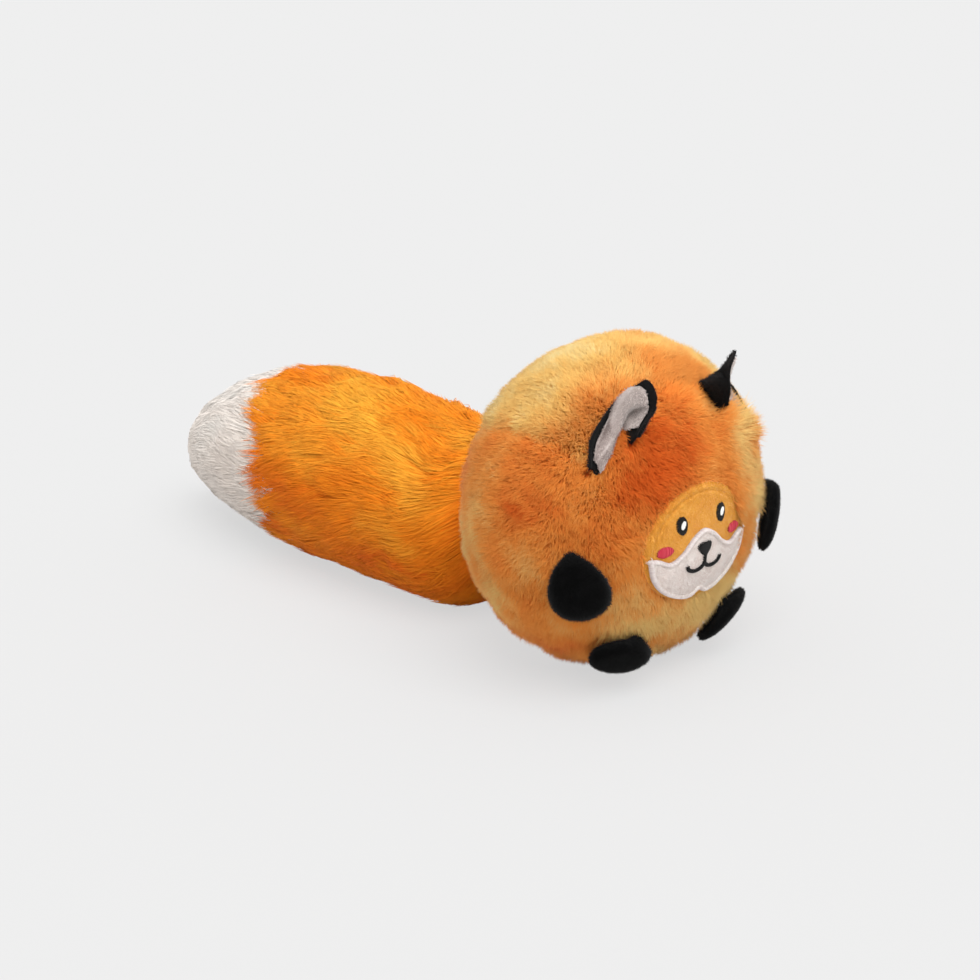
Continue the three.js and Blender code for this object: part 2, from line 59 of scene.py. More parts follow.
focal_length_px = 2391
picture_px = 980
ball_right_px, ball_below_px = 122.9, 6.9


def placed(name, data):
    """A new object in the scene."""
    item = bpy.data.objects.new(name, data)
    bpy.context.collection.objects.link(item)
    return item


camera = placed("camera", bpy.data.cameras.new("camera"))
camera.data.sensor_width = 36
camera.data.lens = camera.data.sensor_width * focal_length_px / picture_px
camera.data.clip_start, camera.data.clip_end = 0.05, 30
backward = Vector((
    sin(camera_side) * cos(camera_rise), -cos(camera_side) * cos(camera_rise), sin(camera_rise)))
level = Vector((cos(camera_side), sin(camera_side), 0))
aim = Matrix((level, backward.cross(level), backward)).transposed()
aim = aim @ Matrix.Rotation(camera_roll, 3, "Z")
aim = aim @ Matrix.Rotation(atan(ball_right_px / focal_length_px), 3, "Y")
aim = aim @ Matrix.Rotation(atan(ball_below_px / focal_length_px), 3, "X")
camera.matrix_world = Matrix.Translation(ball_middle + camera_distance * backward) @ aim.to_4x4()
bpy.context.scene.camera = camera

# Floor and light: a plain pale floor without an edge, a broad soft lamp high on the left
# and an even sky. To the camera the floor is mostly its own pale grey, with a faint shadow.
floor_grey = 0.863
floor_own_share = 0.7
floor_matt_grey = 0.575
floor_half = 6.0
sky_strength = 0.87
key_strength = 2.32
key_spread = radians(50)
key_from = Vector((-0.25, -0.75, 1.25))

floor_mesh = bpy.data.meshes.new("floor")
floor_mesh.from_pydata(
    [(x * floor_half, y * floor_half, 0) for x, y in ((-1, -1), (1, -1), (1, 1), (-1, 1))],
    [], [(0, 1, 2, 3)])
floor = placed("floor", floor_mesh)


def shader_node(tree, kind, inputs, **settings):
    """A new node with its settings. Each input is a value, or the socket that feeds it."""
    made = tree.nodes.new("ShaderNode" + kind)
    for name, value in settings.items():
        setattr(made, name, value)
    for place, value in inputs.items():
        if isinstance(value, bpy.types.NodeSocket):
            tree.links.new(value, made.inputs[place])
        else:
            made.inputs[place].default_value = value
    return made


def any_seen_ray(tree):
    """1 for what the camera sees straight, in a reflection or through glass."""
    path = shader_node(tree, "LightPath", {}).outputs
    seen = path["Is Camera Ray"]
    for name in ("Is Glossy Ray", "Is Transmission Ray"):
        seen = shader_node(tree, "Math", {0: seen, 1: path[name]}, operation="MAXIMUM").outputs[0]
    return seen


def grey(level):
    return (level, level, level, 1)


floor_paint = bpy.data.materials.new("floor_grey")
floor_paint.use_nodes = True
tree = floor_paint.node_tree
tree.nodes.clear()
own = shader_node(tree, "Math", {0: any_seen_ray(tree), 1: floor_own_share}, operation="MULTIPLY")
matt = shader_node(tree, "BsdfDiffuse", {"Color": grey(floor_matt_grey)})
glow = shader_node(tree, "Emission", {"Color": grey(floor_grey)})
both = shader_node(tree, "MixShader",
                   {"Fac": own.outputs[0], 1: matt.outputs[0], 2: glow.outputs[0]})
shader_node(tree, "OutputMaterial", {"Surface": both.outputs[0]})
floor_mesh.materials.append(floor_paint)

world = bpy.data.worlds.new("studio")
bpy.context.scene.world = world
world.use_nodes = True
tree = world.node_tree
tree.nodes.clear()
sky = shader_node(tree, "Background", {"Color": grey(1), "Strength": sky_strength})
backdrop = shader_node(tree, "Background", {"Color": grey(floor_grey)})
both = shader_node(tree, "MixShader",
                   {"Fac": any_seen_ray(tree), 1: sky.outputs[0], 2: backdrop.outputs[0]})
shader_node(tree, "OutputWorld", {"Surface": both.outputs[0]})

key = placed("key_lamp", bpy.data.lights.new("key_lamp", "SUN"))
key.data.energy = key_strength
key.data.angle = key_spread
key.rotation_euler = key_from.to_track_quat("Z", "Y").to_euler()
bpy.context.scene.view_settings.view_transform = "Standard"

# Ball cover: short pile plush with a knitted backing, cut in a front dome, a crown, two sides,
# a belly and two back panels. The seams draw the pile in, and it stands in soft tufts.
ball_radius, ball_half_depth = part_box("side_gusset_left")[1].x, 0.054
ball_half = np.array([ball_radius, ball_half_depth, ball_radius])
ball_centre = np.array(ball_middle)
front_seam = -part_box("crown_gusset")[0].y
back_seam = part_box("crown_gusset")[1].y
crown_seam, belly_seam = radians(50), radians(140)
seam_reach = 0.0030
seam_dip = 0.0008
crown_blend = 0.006
pile_depth = 0.0078
pile_half_width = 0.00018
pile_per_mm2 = 5.3
pile_lean, pile_middle, pile_bow, pile_waver = 0.46, 0.52, 0.13, 0.00022
hairs_per_piece = 21000
ball_area_mm2 = 51500
tuft_count = 3400
tuft_reach = 0.0036
tuft_way, least_sweep, most_stretch = np.array([0, 0.35, -0.55]), 0.58, 2.2
paw_bare_share, ear_bare = 0.55, 0.0009
tail_hole_height, tail_hole_radius = 0.056, 0.011
floor_clearance = 0.0003
hair_round, hair_lay = 0.42, 0.9


def unit(v):
    return v / np.maximum(np.linalg.norm(v, axis=-1, keepdims=True), 1e-12)


def mottle(points, size, seed):
    """Smooth light and dark over the cloth, about -1 to 1, in patches of about this size."""
    rng = np.random.default_rng(seed)
    waves = unit(rng.normal(size=(12, 3))) * 2 * pi / (2 * size) * rng.uniform(0.55, 1.5, (12, 1))
    return np.sin(points @ waves.T + rng.uniform(0, 2 * pi, 12)).sum(1) / 3.4


def on_ball(count, rng):
    """Evenly spread places on the ball, to the tips of its pile, and the way out from each."""
    way = unit(rng.normal(size=(2 * count, 3)))
    stretch = np.linalg.norm(way / ball_half, axis=1)
    way = way[rng.random(len(way)) < stretch / stretch.max()][:count]
    return ball_centre + way * ball_half, unit(way / ball_half)


def outward(points):
    return unit((points - ball_centre) / ball_half ** 2)


def along_cloth(ways, out):
    """What is left of some ways when they are laid flat on the cloth."""
    return ways - out * (ways * out).sum(1, keepdims=True)


def onto_ball(points):
    """The place on the ball's surface under or over each point."""
    spoke = points - ball_centre
    return ball_centre + spoke / np.linalg.norm(spoke / ball_half, axis=-1, keepdims=True)


def strands(name, paths, half_width, tone, lay, taper, sides=3):
    """Closed tapered hairs or threads, one along each path. tone is each one's shade, 0 to 1, and
    lay the way out of the cloth, towards which its shading leans."""
    count, steps, _ = paths.shape
    rings = steps - 1
    run = unit(np.gradient(paths, axis=1))
    side = unit(np.cross(run, np.array([0.31, 0.52, 0.79])))
    front = np.cross(run, side)
    twist = np.random.default_rng(count).uniform(0, 2 * pi, count)
    turn = twist[:, None] + 2 * pi * np.arange(sides) / sides
    wall = (np.cos(turn)[:, None, :, None] * side[:, :rings, None, :]
            + np.sin(turn)[:, None, :, None] * front[:, :rings, None, :])
    width = (half_width[:, None] * np.asarray(taper)[None, :rings])[:, :, None, None]
    body = (paths[:, :rings, None, :] + wall * width).reshape(count, rings * sides, 3)
    points = np.concatenate([body, paths[:, -1:, :]], axis=1)
    soft = unit(hair_round * wall + hair_lay * lay[:, None, None, :])
    soft = soft.reshape(count, rings * sides, 3)
    normals = np.concatenate([soft, unit(run[:, -1:, :] * 0.4 + lay[:, None, :])], axis=1)
    points[:, :, 2] = np.maximum(points[:, :, 2], floor_clearance)

    each = rings * sides + 1
    k = np.arange(sides)
    quads = [np.stack([j * sides + k, j * sides + (k + 1) % sides,
                       (j + 1) * sides + (k + 1) % sides, (j + 1) * sides + k], 1)
             for j in range(rings - 1)]
    quad = np.concatenate(quads).ravel() if quads else np.zeros(0, int)
    last = (rings - 1) * sides
    ends = np.stack([last + k, last + (k + 1) % sides, np.full(sides, each - 1)], 1).ravel()
    pattern = np.concatenate([quad, ends])
    sizes = np.concatenate([np.full(len(quad) // 4, 4), np.full(sides, 3)])
    corners = (pattern[None] + each * np.arange(count)[:, None]).ravel()
    starts = np.cumsum(np.tile(sizes, count)) - np.tile(sizes, count)

    mesh = bpy.data.meshes.new(name)
    mesh.vertices.add(count * each)
    mesh.vertices.foreach_set("co", points.astype(np.float32).ravel())
    mesh.loops.add(len(corners))
    mesh.loops.foreach_set("vertex_index", corners.astype(np.int32))
    mesh.polygons.add(len(starts))
    mesh.polygons.foreach_set("loop_start", starts.astype(np.int32))
    mesh.update(calc_edges=True)
    mesh.polygons.foreach_set("use_smooth", np.ones(len(starts), bool))
    along = np.concatenate([np.repeat(np.arange(rings) / rings, sides), [1.0]])
    spread = np.concatenate([np.tile((k - 1) * 0.004, rings), [0.0]])
    shade = np.clip(tone[:, None] + spread[None], 0.002, 0.998)
    places = np.stack([shade, np.broadcast_to(along * 0.99 + 0.005, shade.shape)], 2)
    layer = mesh.uv_layers.new(name="OFBake")
    layer.uv.foreach_set("vector", places.reshape(-1, 2)[corners].astype(np.float32).ravel())
    mesh.normals_split_custom_set_from_vertices(normals.reshape(-1, 3))
    return placed(name, mesh)


def shader_group(name, inputs, outputs):
    """An empty node group with these sockets and kinds, and its own input and output nodes."""
    group = bpy.data.node_groups.new(name, "ShaderNodeTree")
    for way, sockets in (("INPUT", inputs), ("OUTPUT", outputs)):
        for label, kind in sockets.items():
            group.interface.new_socket(label, in_out=way, socket_type="NodeSocket" + kind)
    return group, group.nodes.new("NodeGroupInput"), group.nodes.new("NodeGroupOutput")


def graded(tree, low, high, source, span):
    """A colour that runs softly from low to high as the source passes over the span."""
    step = shader_node(tree, "MapRange", {
        "Value": source, "From Min": span[0], "From Max": span[1]}, interpolation_type="SMOOTHSTEP")
    mix = shader_node(tree, "Mix", {"Factor": step.outputs["Result"], "A": low, "B": high},
                      data_type="RGBA")
    return mix.outputs["Result"]


pile_colours = ("Dark Tip", "Mid Tip", "Pale Tip", "Dark Root", "Pale Root")


def pile_shade_group():
    """Colour of a hair from its tone and the place along it: darker at the root, painted shade
    for the depth among the hairs, and bright at the tip. Built once for the plush, the tail,
    the fleece, the felt and the threads."""
    kinds = dict.fromkeys(pile_colours, "Color")
    group, inside, outside = shader_group(
        "pile_shade", kinds | {"Root Reach": "Float"}, {"Color": "Color"})
    given = inside.outputs
    place = shader_node(group, "UVMap", {}, uv_map="OFBake")
    split = shader_node(group, "SeparateXYZ", {0: place.outputs["UV"]})
    tone, along = split.outputs["X"], split.outputs["Y"]
    tip = graded(group, given["Dark Tip"], given["Mid Tip"], tone, (0.0, 0.55))
    tip = graded(group, tip, given["Pale Tip"], tone, (0.45, 1.0))
    root = graded(group, given["Dark Root"], given["Pale Root"], tone, (0.1, 0.9))
    colour = graded(group, root, tip, along, (0.0, given["Root Reach"]))
    group.links.new(colour, outside.inputs["Color"])
    return group


pile_shade = pile_shade_group()


def srgb(red, green, blue):
    """A colour as a paint chart gives it, 0 to 255, in the scene's own light values."""
    def linear(c):
        c /= 255
        return c / 12.92 if c <= 0.04045 else ((c + 0.055) / 1.055) ** 2.4
    return (linear(red), linear(green), linear(blue), 1)


def painted(name, group, inputs, roughness, specular, sheen, sheen_roughness):
    """A material that takes its colour from a node group."""
    material = bpy.data.materials.new(name)
    material.use_nodes = True
    tree = material.node_tree
    paint = shader_node(tree, "Group", inputs, node_tree=group, name="paint")
    shader = tree.nodes["Principled BSDF"]
    tree.links.new(paint.outputs["Color"], shader.inputs["Base Color"])
    shader.inputs["Roughness"].default_value = roughness
    shader.inputs["Specular IOR Level"].default_value = specular
    shader.inputs["Sheen Weight"].default_value = sheen
    shader.inputs["Sheen Roughness"].default_value = sheen_roughness
    return material


def hair_material(name, *colours, reach, sheen=0.07, roughness=0.85, specular=0.15):
    """Hair in three colours at the tips, dark to pale, and two at the roots, darker there as
    painted shade for the depth among the hairs. reach is how far up a hair the roots' colours
    go."""
    inputs = {label: srgb(*colour) for label, colour in zip(pile_colours, colours)}
    inputs["Root Reach"] = reach
    return painted(name, pile_shade, inputs, roughness, specular, sheen, 0.5)


plush_orange = hair_material(
    "plush_orange", (234, 106, 34), (255, 160, 70), (255, 212, 130), (226, 106, 36), (255, 152, 66),
    reach=0.7)
plush_crown = hair_material(
    "plush_crown", (240, 152, 70), (255, 206, 118), (255, 234, 170), (228, 134, 54), (252, 186, 98),
    reach=0.65)

face_half = np.array([0.0275, 0.0245])
face_middle_z = ball_centre[2] - 0.0077
paw_sizes = {
    "arm": dict(width=0.022, length=0.028, thickness=0.0054, angle=radians(105),
                setback=0.034, round_seam=True, taper=0.25),
    "foot": dict(width=0.026, length=0.021, thickness=0.0054, angle=radians(151),
                 setback=0.030, round_seam=False, taper=0.05),
}


def seam_place(angle, setback):
    """A place on the fox's left of the ball, by its angle from the top and its way back."""
    radius = ball_half[0] * sqrt(1 - (setback / ball_half[1]) ** 2)
    return ball_centre + np.array([radius * sin(angle), -setback, radius * cos(angle)])


def paw_frame(paw):
    """Where a left paw lies: its middle, the ways across, down and out of it."""
    middle = seam_place(paw["angle"], paw["setback"])
    out = outward(middle)
    round_ball = np.array([cos(paw["angle"]), 0, -sin(paw["angle"])])
    forward = unit(np.cross(round_ball, out))
    if paw["round_seam"]:
        return middle, forward, round_ball, out
    return middle, round_ball, -forward, out


def paw_share(points, paw):
    """How far out each point lies on a paw's egg outline, 1 at its rim, and how far down.
    Both sides of the ball are read as the left one."""
    middle, across, down, out = paw_frame(paw)
    spoke = points - ball_centre
    spoke[:, 0] = np.abs(spoke[:, 0])
    reach = spoke @ out
    flat = spoke * ((middle - ball_centre) @ out / np.maximum(reach, 1e-6))[:, None]
    flat = flat - (middle - ball_centre)
    low = flat @ down / (paw["length"] / 2)
    side = flat @ across / (paw["width"] / 2 * (1 + paw["taper"] * np.clip(low, -1, 1)))
    share = np.where(reach > 0.02, np.hypot(low, side), 9.0)
    return share, low, side


def through(knots, t):
    """A smooth curve through a few points, from t = 0 at the first to 1 at the last."""
    knots = np.asarray(knots, float)
    whole = np.concatenate([[2 * knots[0] - knots[1]], knots, [2 * knots[-1] - knots[-2]]])
    t = np.asarray(t, float) * (len(knots) - 1)
    first = np.clip(np.floor(t).astype(int), 0, len(knots) - 2)
    w = (t - first)[..., None]
    p0, p1, p2, p3 = (whole[first + k] for k in range(4))
    gap = [np.sqrt(np.linalg.norm(b - a, axis=-1, keepdims=True))
           for a, b in ((p0, p1), (p1, p2), (p2, p3))]
    t1 = ((p1 - p0) / gap[0] - (p2 - p0) / (gap[0] + gap[1]) + (p2 - p1) / gap[1]) * gap[1]
    t2 = ((p2 - p1) / gap[1] - (p3 - p1) / (gap[1] + gap[2]) + (p3 - p2) / gap[2]) * gap[1]
    return (p1 + t1 * w + (3 * (p2 - p1) - 2 * t1 - t2) * w ** 2
            + (2 * (p1 - p2) + t1 + t2) * w ** 3)


ear_outer_angle = radians(54)
ear_tip_rise = 0.021
# The left ear's base, from its outer end round the spine to the flap: shares of the outer end's
# angle and of the ball's half depth.
ear_base_shares = [(1, 0.65), (0.8, 0.665), (0.62, 0.655), (0.445, 0.63), (0.59, 0.74)]


def ear_knots(shares):
    """The points of an ear's line, with a share of the tip's rise where a row has one."""
    feet = [seam_place(row[0] * ear_outer_angle, row[1] * ball_half[1]) for row in shares]
    return [foot + sum(row[2:]) * ear_tip_rise * outward(foot) for foot, row in zip(feet, shares)]


ear_base_knots = ear_knots(ear_base_shares)
ear_base_line = through(ear_base_knots, np.linspace(0, 1, 60))


def ear_base_near(points):
    """The way from an ear's base line to each point, on either side of the ball."""
    folded = points.copy()
    folded[:, 0] = np.abs(folded[:, 0])
    way = folded[:, None] - ear_base_line[None]
    far = np.linalg.norm(way, axis=2)
    nearest = far.argmin(1)
    picked = way[np.arange(len(points)), nearest]
    picked[:, 0] *= np.sign(points[:, 0])
    return picked, far.min(1)


def seam_pull(points):
    """How strongly the nearest seam draws the cloth in, 0 to 1, and the way towards it."""
    side = np.sign(points[:, 0])
    angle = np.arctan2(np.abs(points[:, 0]), points[:, 2] - ball_centre[2])
    radius = np.hypot(points[:, 0], points[:, 2] - ball_centre[2])
    band = (points[:, 1] > -front_seam) & (points[:, 1] < back_seam)
    zero = np.zeros(len(points))
    y_axis = np.stack([zero, zero + 1, zero], 1)
    x_axis = np.stack([zero + 1, zero, zero], 1)
    around = np.stack([side * np.cos(angle), zero, -np.sin(angle)], 1)
    pull, toward = zero.copy(), np.zeros_like(points)
    for off, way, here in (
            (points[:, 1] + front_seam, y_axis, zero == 0),
            (points[:, 1] - back_seam, y_axis, zero == 0),
            ((angle - crown_seam) * radius, around, band),
            ((angle - belly_seam) * radius, around, band),
            (points[:, 0], x_axis, points[:, 1] > back_seam)):
        strength = np.where(here, np.exp(-(off / seam_reach) ** 2), 0)
        stronger = strength > pull
        pull = np.where(stronger, strength, pull)
        toward = np.where(stronger[:, None], -np.sign(off)[:, None] * way, toward)
    return pull, toward


# Where the photograph has the plush darker or paler than its mean, partly the plush's own
# mottled tone and partly painted shade and painted light: place from the ball's middle in shares
# of its half sizes, reach in metres, and how much.
tone_and_painted_light_patches = [
    ((-0.20, -0.90, 0.38), 0.017, -0.24), ((-0.42, -0.86, 0.30), 0.014, -0.20),
    ((0.10, -0.90, 0.42), 0.014, -0.12), ((-0.10, -0.81, 0.57), 0.015, -0.18),
    ((-0.45, -0.44, 0.78), 0.010, -0.22), ((-0.87, -0.37, 0.30), 0.020, -0.12),
    ((-0.75, -0.20, 0.60), 0.014, -0.10), ((0.14, -0.38, 0.91), 0.013, -0.34),
    ((-0.62, 0.00, 0.75), 0.013, 0.18), ((-0.06, -0.24, 0.96), 0.012, 0.10),
    ((-0.32, -0.80, -0.51), 0.018, 0.36), ((-0.71, -0.37, -0.60), 0.020, -0.08),
    ((0.05, -0.80, -0.60), 0.020, 0.34), ((0.40, -0.76, -0.50), 0.018, 0.28),
    ((0.47, -0.83, 0.30), 0.014, 0.26), ((0.57, -0.61, 0.55), 0.016, 0.18),
    ((0.60, -0.79, -0.06), 0.014, 0.24), ((-0.95, 0.25, 0.20), 0.016, 0.14),
    ((0.32, -0.53, 0.79), 0.010, -0.36), ((-0.20, -0.58, 0.79), 0.011, -0.30),
    ((0.10, -0.72, 0.69), 0.011, -0.22), ((-0.66, -0.30, 0.68), 0.012, -0.26),
    ((0.26, -0.83, -0.50), 0.015, 0.30), ((-0.92, 0.27, -0.28), 0.018, 0.30),
    ((0.65, -0.74, 0.15), 0.012, 0.24), ((-0.50, 0.28, 0.82), 0.014, 0.20),
    ((-0.44, -0.83, -0.34), 0.011, 0.20), ((0.31, -0.75, 0.58), 0.009, 0.18),
    ((-0.86, -0.51, -0.06), 0.011, -0.24), ((-0.80, -0.49, 0.35), 0.010, -0.18),
    ((0.22, -0.94, -0.30), 0.010, 0.24), ((0.34, -0.56, 0.76), 0.008, -0.25),
]
# Where the pile is pressed shorter or stands longer, in the same way.
length_patches = [((-0.03, 0.38, 0.92), 0.034, -0.26), ((0.82, -0.46, 0.34), 0.020, 0.22),
                  ((0.18, -0.46, -0.87), 0.016, 0.22), ((0.60, -0.74, -0.04), 0.012, 0.12)]


def patchy(points, patches):
    at = (points - ball_centre) / ball_half
    total = np.zeros(len(points))
    for place, reach, much in patches:
        far = np.linalg.norm((at - place) * ball_half, axis=1)
        total += much * np.exp(-(far / reach) ** 2)
    return total


def nearest_of(targets, points):
    """Which of the targets is nearest to each point."""
    tree = KDTree(len(targets))
    for index, place in enumerate(targets):
        tree.insert(place, index)
    tree.balance()
    return np.array([tree.find(place)[1] for place in points])


rng = np.random.default_rng(7)
places, out = on_ball(int(ball_area_mm2 * pile_per_mm2), rng)
face_at = (places[:, [0, 2]] - [0, face_middle_z]) / face_half
face_share = np.where(places[:, 1] < 0, np.linalg.norm(face_at, axis=1), 9)
shares = {name: paw_share(places, paw) for name, paw in paw_sizes.items()}
ear_way, ear_far = ear_base_near(places)
tail_far = np.linalg.norm(places - [0, ball_half[1], tail_hole_height], axis=1)
keep = (face_share > 1.0) & (ear_far > ear_bare) & (tail_far > tail_hole_radius)
for found in shares.values():
    keep &= found[0] > paw_bare_share
places, out, face_share, face_at = places[keep], out[keep], face_share[keep], face_at[keep]
shares = {name: [part[keep] for part in found] for name, found in shares.items()}
ear_way, ear_far = ear_way[keep], ear_far[keep]
count = len(places)

tuft_places, tuft_out = on_ball(tuft_count, rng)
tuft_sweep = along_cloth(tuft_way, tuft_out)
# Where the sweep meets the cloth head on, the pile still lies over rather than standing up.
sweep_size = np.linalg.norm(tuft_sweep, axis=1, keepdims=True)
tuft_sweep *= np.clip(least_sweep / sweep_size, 1, most_stretch)
tuft_sweep += np.stack([mottle(tuft_places, 0.013, seed) for seed in (3, 4, 5)], 1) * 0.34
tuft_sweep = along_cloth(tuft_sweep + rng.normal(size=(tuft_count, 3)) * 0.10, tuft_out)
tuft_tone = rng.normal(size=tuft_count)
tuft_rise = 1 + 0.07 * mottle(tuft_places, 0.009, 6) + 0.05 * rng.normal(size=tuft_count)
tuft = nearest_of(tuft_places, places)

pull, toward = seam_pull(places)
rise = pile_depth * 0.95 * np.clip(tuft_rise[tuft], 0.7, 1.2) * (1 - 0.12 * pull)
rise *= rng.uniform(0.76, 1.05, count) * (1 + patchy(places, length_patches))
lean = 1.1 * tuft_sweep[tuft] + 0.42 * rng.normal(size=(count, 3)) + 0.3 * pull[:, None] * toward
near_face = np.clip((1.3 - face_share) / 0.3, 0, 1)
from_face = np.stack([face_at[:, 0], np.zeros(count), face_at[:, 1]], 1)
# It leans away from the face, but on the fox's left it falls over the edge of it.
fall_in = np.clip((face_at[:, 0] - 0.62) / 0.25, 0, 1)
lean += (near_face * (0.8 - 2.1 * fall_in))[:, None] * unit(from_face)
rise *= 1 - 0.30 * near_face * (1 - 1.4 * fall_in)
for name, paw in paw_sizes.items():
    share, low, side = shares[name]
    _, across, down, _ = paw_frame(paw)
    near = np.clip((1.5 - share) / 0.5, 0, 1) * (share > 0.97)
    over = near * np.clip(-low * 1.6, 0, 1)
    away = near * np.clip(low + 0.6, 0, 1) * 0.6
    mirrored = np.sign(places[:, :1]) * [1, 0, 0] + [0, 1, 1]
    aside = low[:, None] * down + side[:, None] * across
    lean += (over[:, None] * 0.8 * down + away[:, None] * aside) * mirrored
    # Under a paw the pile stays low, and at its rim it stands a little taller.
    rise = np.where(share < 0.97, np.minimum(rise, pile_depth * 0.72),
                    rise * (1 + 0.35 * over + 0.2 * away))
near_ear = np.clip((0.006 - ear_far) / 0.005, 0, 1)
lean += near_ear[:, None] * 0.9 * unit(ear_way)
angle = np.arctan2(np.abs(places[:, 0]), places[:, 2] - ball_centre[2])
left = places[:, 0] > 0
# The front's pile falls over the low outer leaf of the left ear.
over_leaf = (np.clip((0.010 - ear_far) / 0.004, 0, 1) * left * (ear_way[:, 1] < 0)
             * np.clip((angle - radians(26)) / 0.1, 0, 1))
lean -= over_leaf[:, None] * 1.3 * unit(ear_way)
rise *= 1 + 0.75 * over_leaf
lean = along_cloth(lean, out)

roots = places - out * (pile_depth + seam_dip * pull)[:, None]
own = roots + out * rise[:, None] + lean * (rise * pile_lean)[:, None]
shared = tuft_places[tuft] + tuft_sweep[tuft] * tuft_reach
cling = (rng.uniform(0.0, 0.16, count) * (1 - pull) * (1 - near_face) * (1 - near_ear))[:, None]
for name in paw_sizes:
    cling *= np.clip((shares[name][0][:, None] - 1.0) / 0.5, 0, 1)
tips = own * (1 - cling) + shared * cling
middles = roots * (1 - pile_middle) + tips * pile_middle + out * (rise * pile_bow)[:, None]
middles += rng.normal(size=(count, 3)) * pile_waver
# Near the seams the pile is a little darker: painted shade where the seams draw it into a crease.
tone = (0.50 + 0.13 * mottle(places, 0.016, 8) + 0.07 * mottle(places, 0.0065, 9)
        + 0.04 * tuft_tone[tuft] + 0.05 * rng.normal(size=count) + patchy(places, tone_and_painted_light_patches)
        - 0.05 * pull)
paths = np.stack([roots, middles, tips], 1)
front, back = places[:, 1] < -front_seam, places[:, 1] > back_seam
band = ~front & ~back
# The two shades meet softly, because the pile of each panel falls over the seam.
from_crown = np.maximum((angle - crown_seam) * ball_half[0], np.maximum(
    -front_seam - places[:, 1], places[:, 1] - back_seam))
shade_step = np.exp(-np.abs(from_crown) / crown_blend)
tone += np.where(from_crown > 0, 0.26, -0.20) * shade_step
panels = {
    "front_panel": front, "crown_gusset": band & (angle < crown_seam),
    "belly_gusset": band & (angle > belly_seam),
    "side_gusset_left": band & (angle >= crown_seam) & (angle <= belly_seam) & left,
    "side_gusset_right": band & (angle >= crown_seam) & (angle <= belly_seam) & ~left,
    "back_panel_left": back & left, "back_panel_right": back & ~left,
}
for node, here in panels.items():
    coat = plush_crown if node == "crown_gusset" else plush_orange
    hairs = np.flatnonzero(here)
    hairs = hairs[np.argsort(angle[hairs], kind="stable")]
    for number, some in enumerate(np.array_split(hairs, -(-len(hairs) // hairs_per_piece))):
        thick = rng.uniform(0.75, 1.25, len(some)) * pile_half_width
        pile = strands(f"{node}_pile_{number + 1}", paths[some], thick, tone[some], out[some],
                       (1, 0.8))
        pile.data.materials.append(coat)
        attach(pile, "ball")
        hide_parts(node)

# Ball stuffing: the knitted backing of the plush, pulled tight over the fibre inside it.
# It shows only where the pile parts. The squeaker lies in the middle of the fibre.
backing_gap = 0.0002


def nap_group():
    """Soft mottling of a matt cloth: a colour between two, and a height for its bumps."""
    group, inside, outside = shader_group(
        "cloth_nap", {"Low": "Color", "High": "Color", "Grain per m": "Float"},
        {"Color": "Color", "Height": "Float"})
    given = inside.outputs
    where = shader_node(group, "TexCoord", {}).outputs["Object"]
    fine = shader_node(group, "TexNoise", {"Vector": where, "Scale": given["Grain per m"],
                                           "Detail": 4, "Roughness": 0.65}).outputs["Fac"]
    broad = shader_node(group, "TexNoise", {"Vector": where, "Scale": 160}).outputs["Fac"]
    broad = shader_node(group, "Math", {0: broad, 1: 0.4}, operation="MULTIPLY").outputs[0]
    both = shader_node(group, "Math", {0: fine, 1: 0.6, 2: broad},
                       operation="MULTIPLY_ADD").outputs[0]
    colour = graded(group, given["Low"], given["High"], both, (0.36, 0.64))
    group.links.new(colour, outside.inputs["Color"])
    group.links.new(fine, outside.inputs["Height"])
    return group


cloth_nap = nap_group()


def cloth_material(name, low, high, grain, bump, roughness=0.9, sheen=0.2):
    """A matt cloth between two colours. grain is how fine its nap is, and bump how deep."""
    material = painted(name, cloth_nap, {
        "Low": srgb(*low), "High": srgb(*high), "Grain per m": grain}, roughness, 0.2, sheen, 0.6)
    tree = material.node_tree
    height = tree.nodes["paint"].outputs["Height"]
    dents = shader_node(tree, "Bump", {"Distance": bump, "Height": height})
    tree.links.new(dents.outputs["Normal"], tree.nodes["Principled BSDF"].inputs["Normal"])
    return material


def smooth_piece(name, points, faces, weld):
    """A smooth piece with its faces turned outwards. weld joins the points that meet."""
    mesh = bpy.data.meshes.new(name)
    mesh.from_pydata(points.tolist(), [], faces)
    work = bmesh.new()
    work.from_mesh(mesh)
    if weld:
        bmesh.ops.remove_doubles(work, verts=work.verts, dist=1e-6)
        bmesh.ops.dissolve_degenerate(work, edges=work.edges, dist=1e-7)
    bmesh.ops.recalc_face_normals(work, faces=work.faces)
    work.to_mesh(mesh)
    work.free()
    mesh.polygons.foreach_set("use_smooth", np.ones(len(mesh.polygons), bool))
    return placed(name, mesh)


def cloth_piece(name, top, bottom, wrap=False):
    """A closed piece between an outer and an inner grid of points, rows by columns. With wrap,
    the columns run round, and the first row is a middle point."""
    rows, columns = top.shape[:2]
    points = np.concatenate([top.reshape(-1, 3), bottom.reshape(-1, 3)])
    points[:, 2] = np.maximum(points[:, 2], floor_clearance)
    under = rows * columns
    spans = columns if wrap else columns - 1

    def at(i, j):
        return i * columns + j % columns

    faces = []
    for i in range(rows - 1):
        for j in range(spans):
            a, b, c, d = at(i, j), at(i, j + 1), at(i + 1, j + 1), at(i + 1, j)
            faces.append((a, b, c, d))
            faces.append((under + d, under + c, under + b, under + a))
    rim = [at(rows - 1, j) for j in range(columns)]
    if wrap:
        rim.append(rim[0])
    else:
        rim += [at(i, columns - 1) for i in range(rows - 2, -1, -1)]
        rim += [at(0, j) for j in range(columns - 2, -1, -1)]
        rim += [at(i, 0) for i in range(1, rows)]
    for a, b in zip(rim, rim[1:]):
        faces.append((a, b, under + b, under + a))
    return smooth_piece(name, points, faces, weld=True)


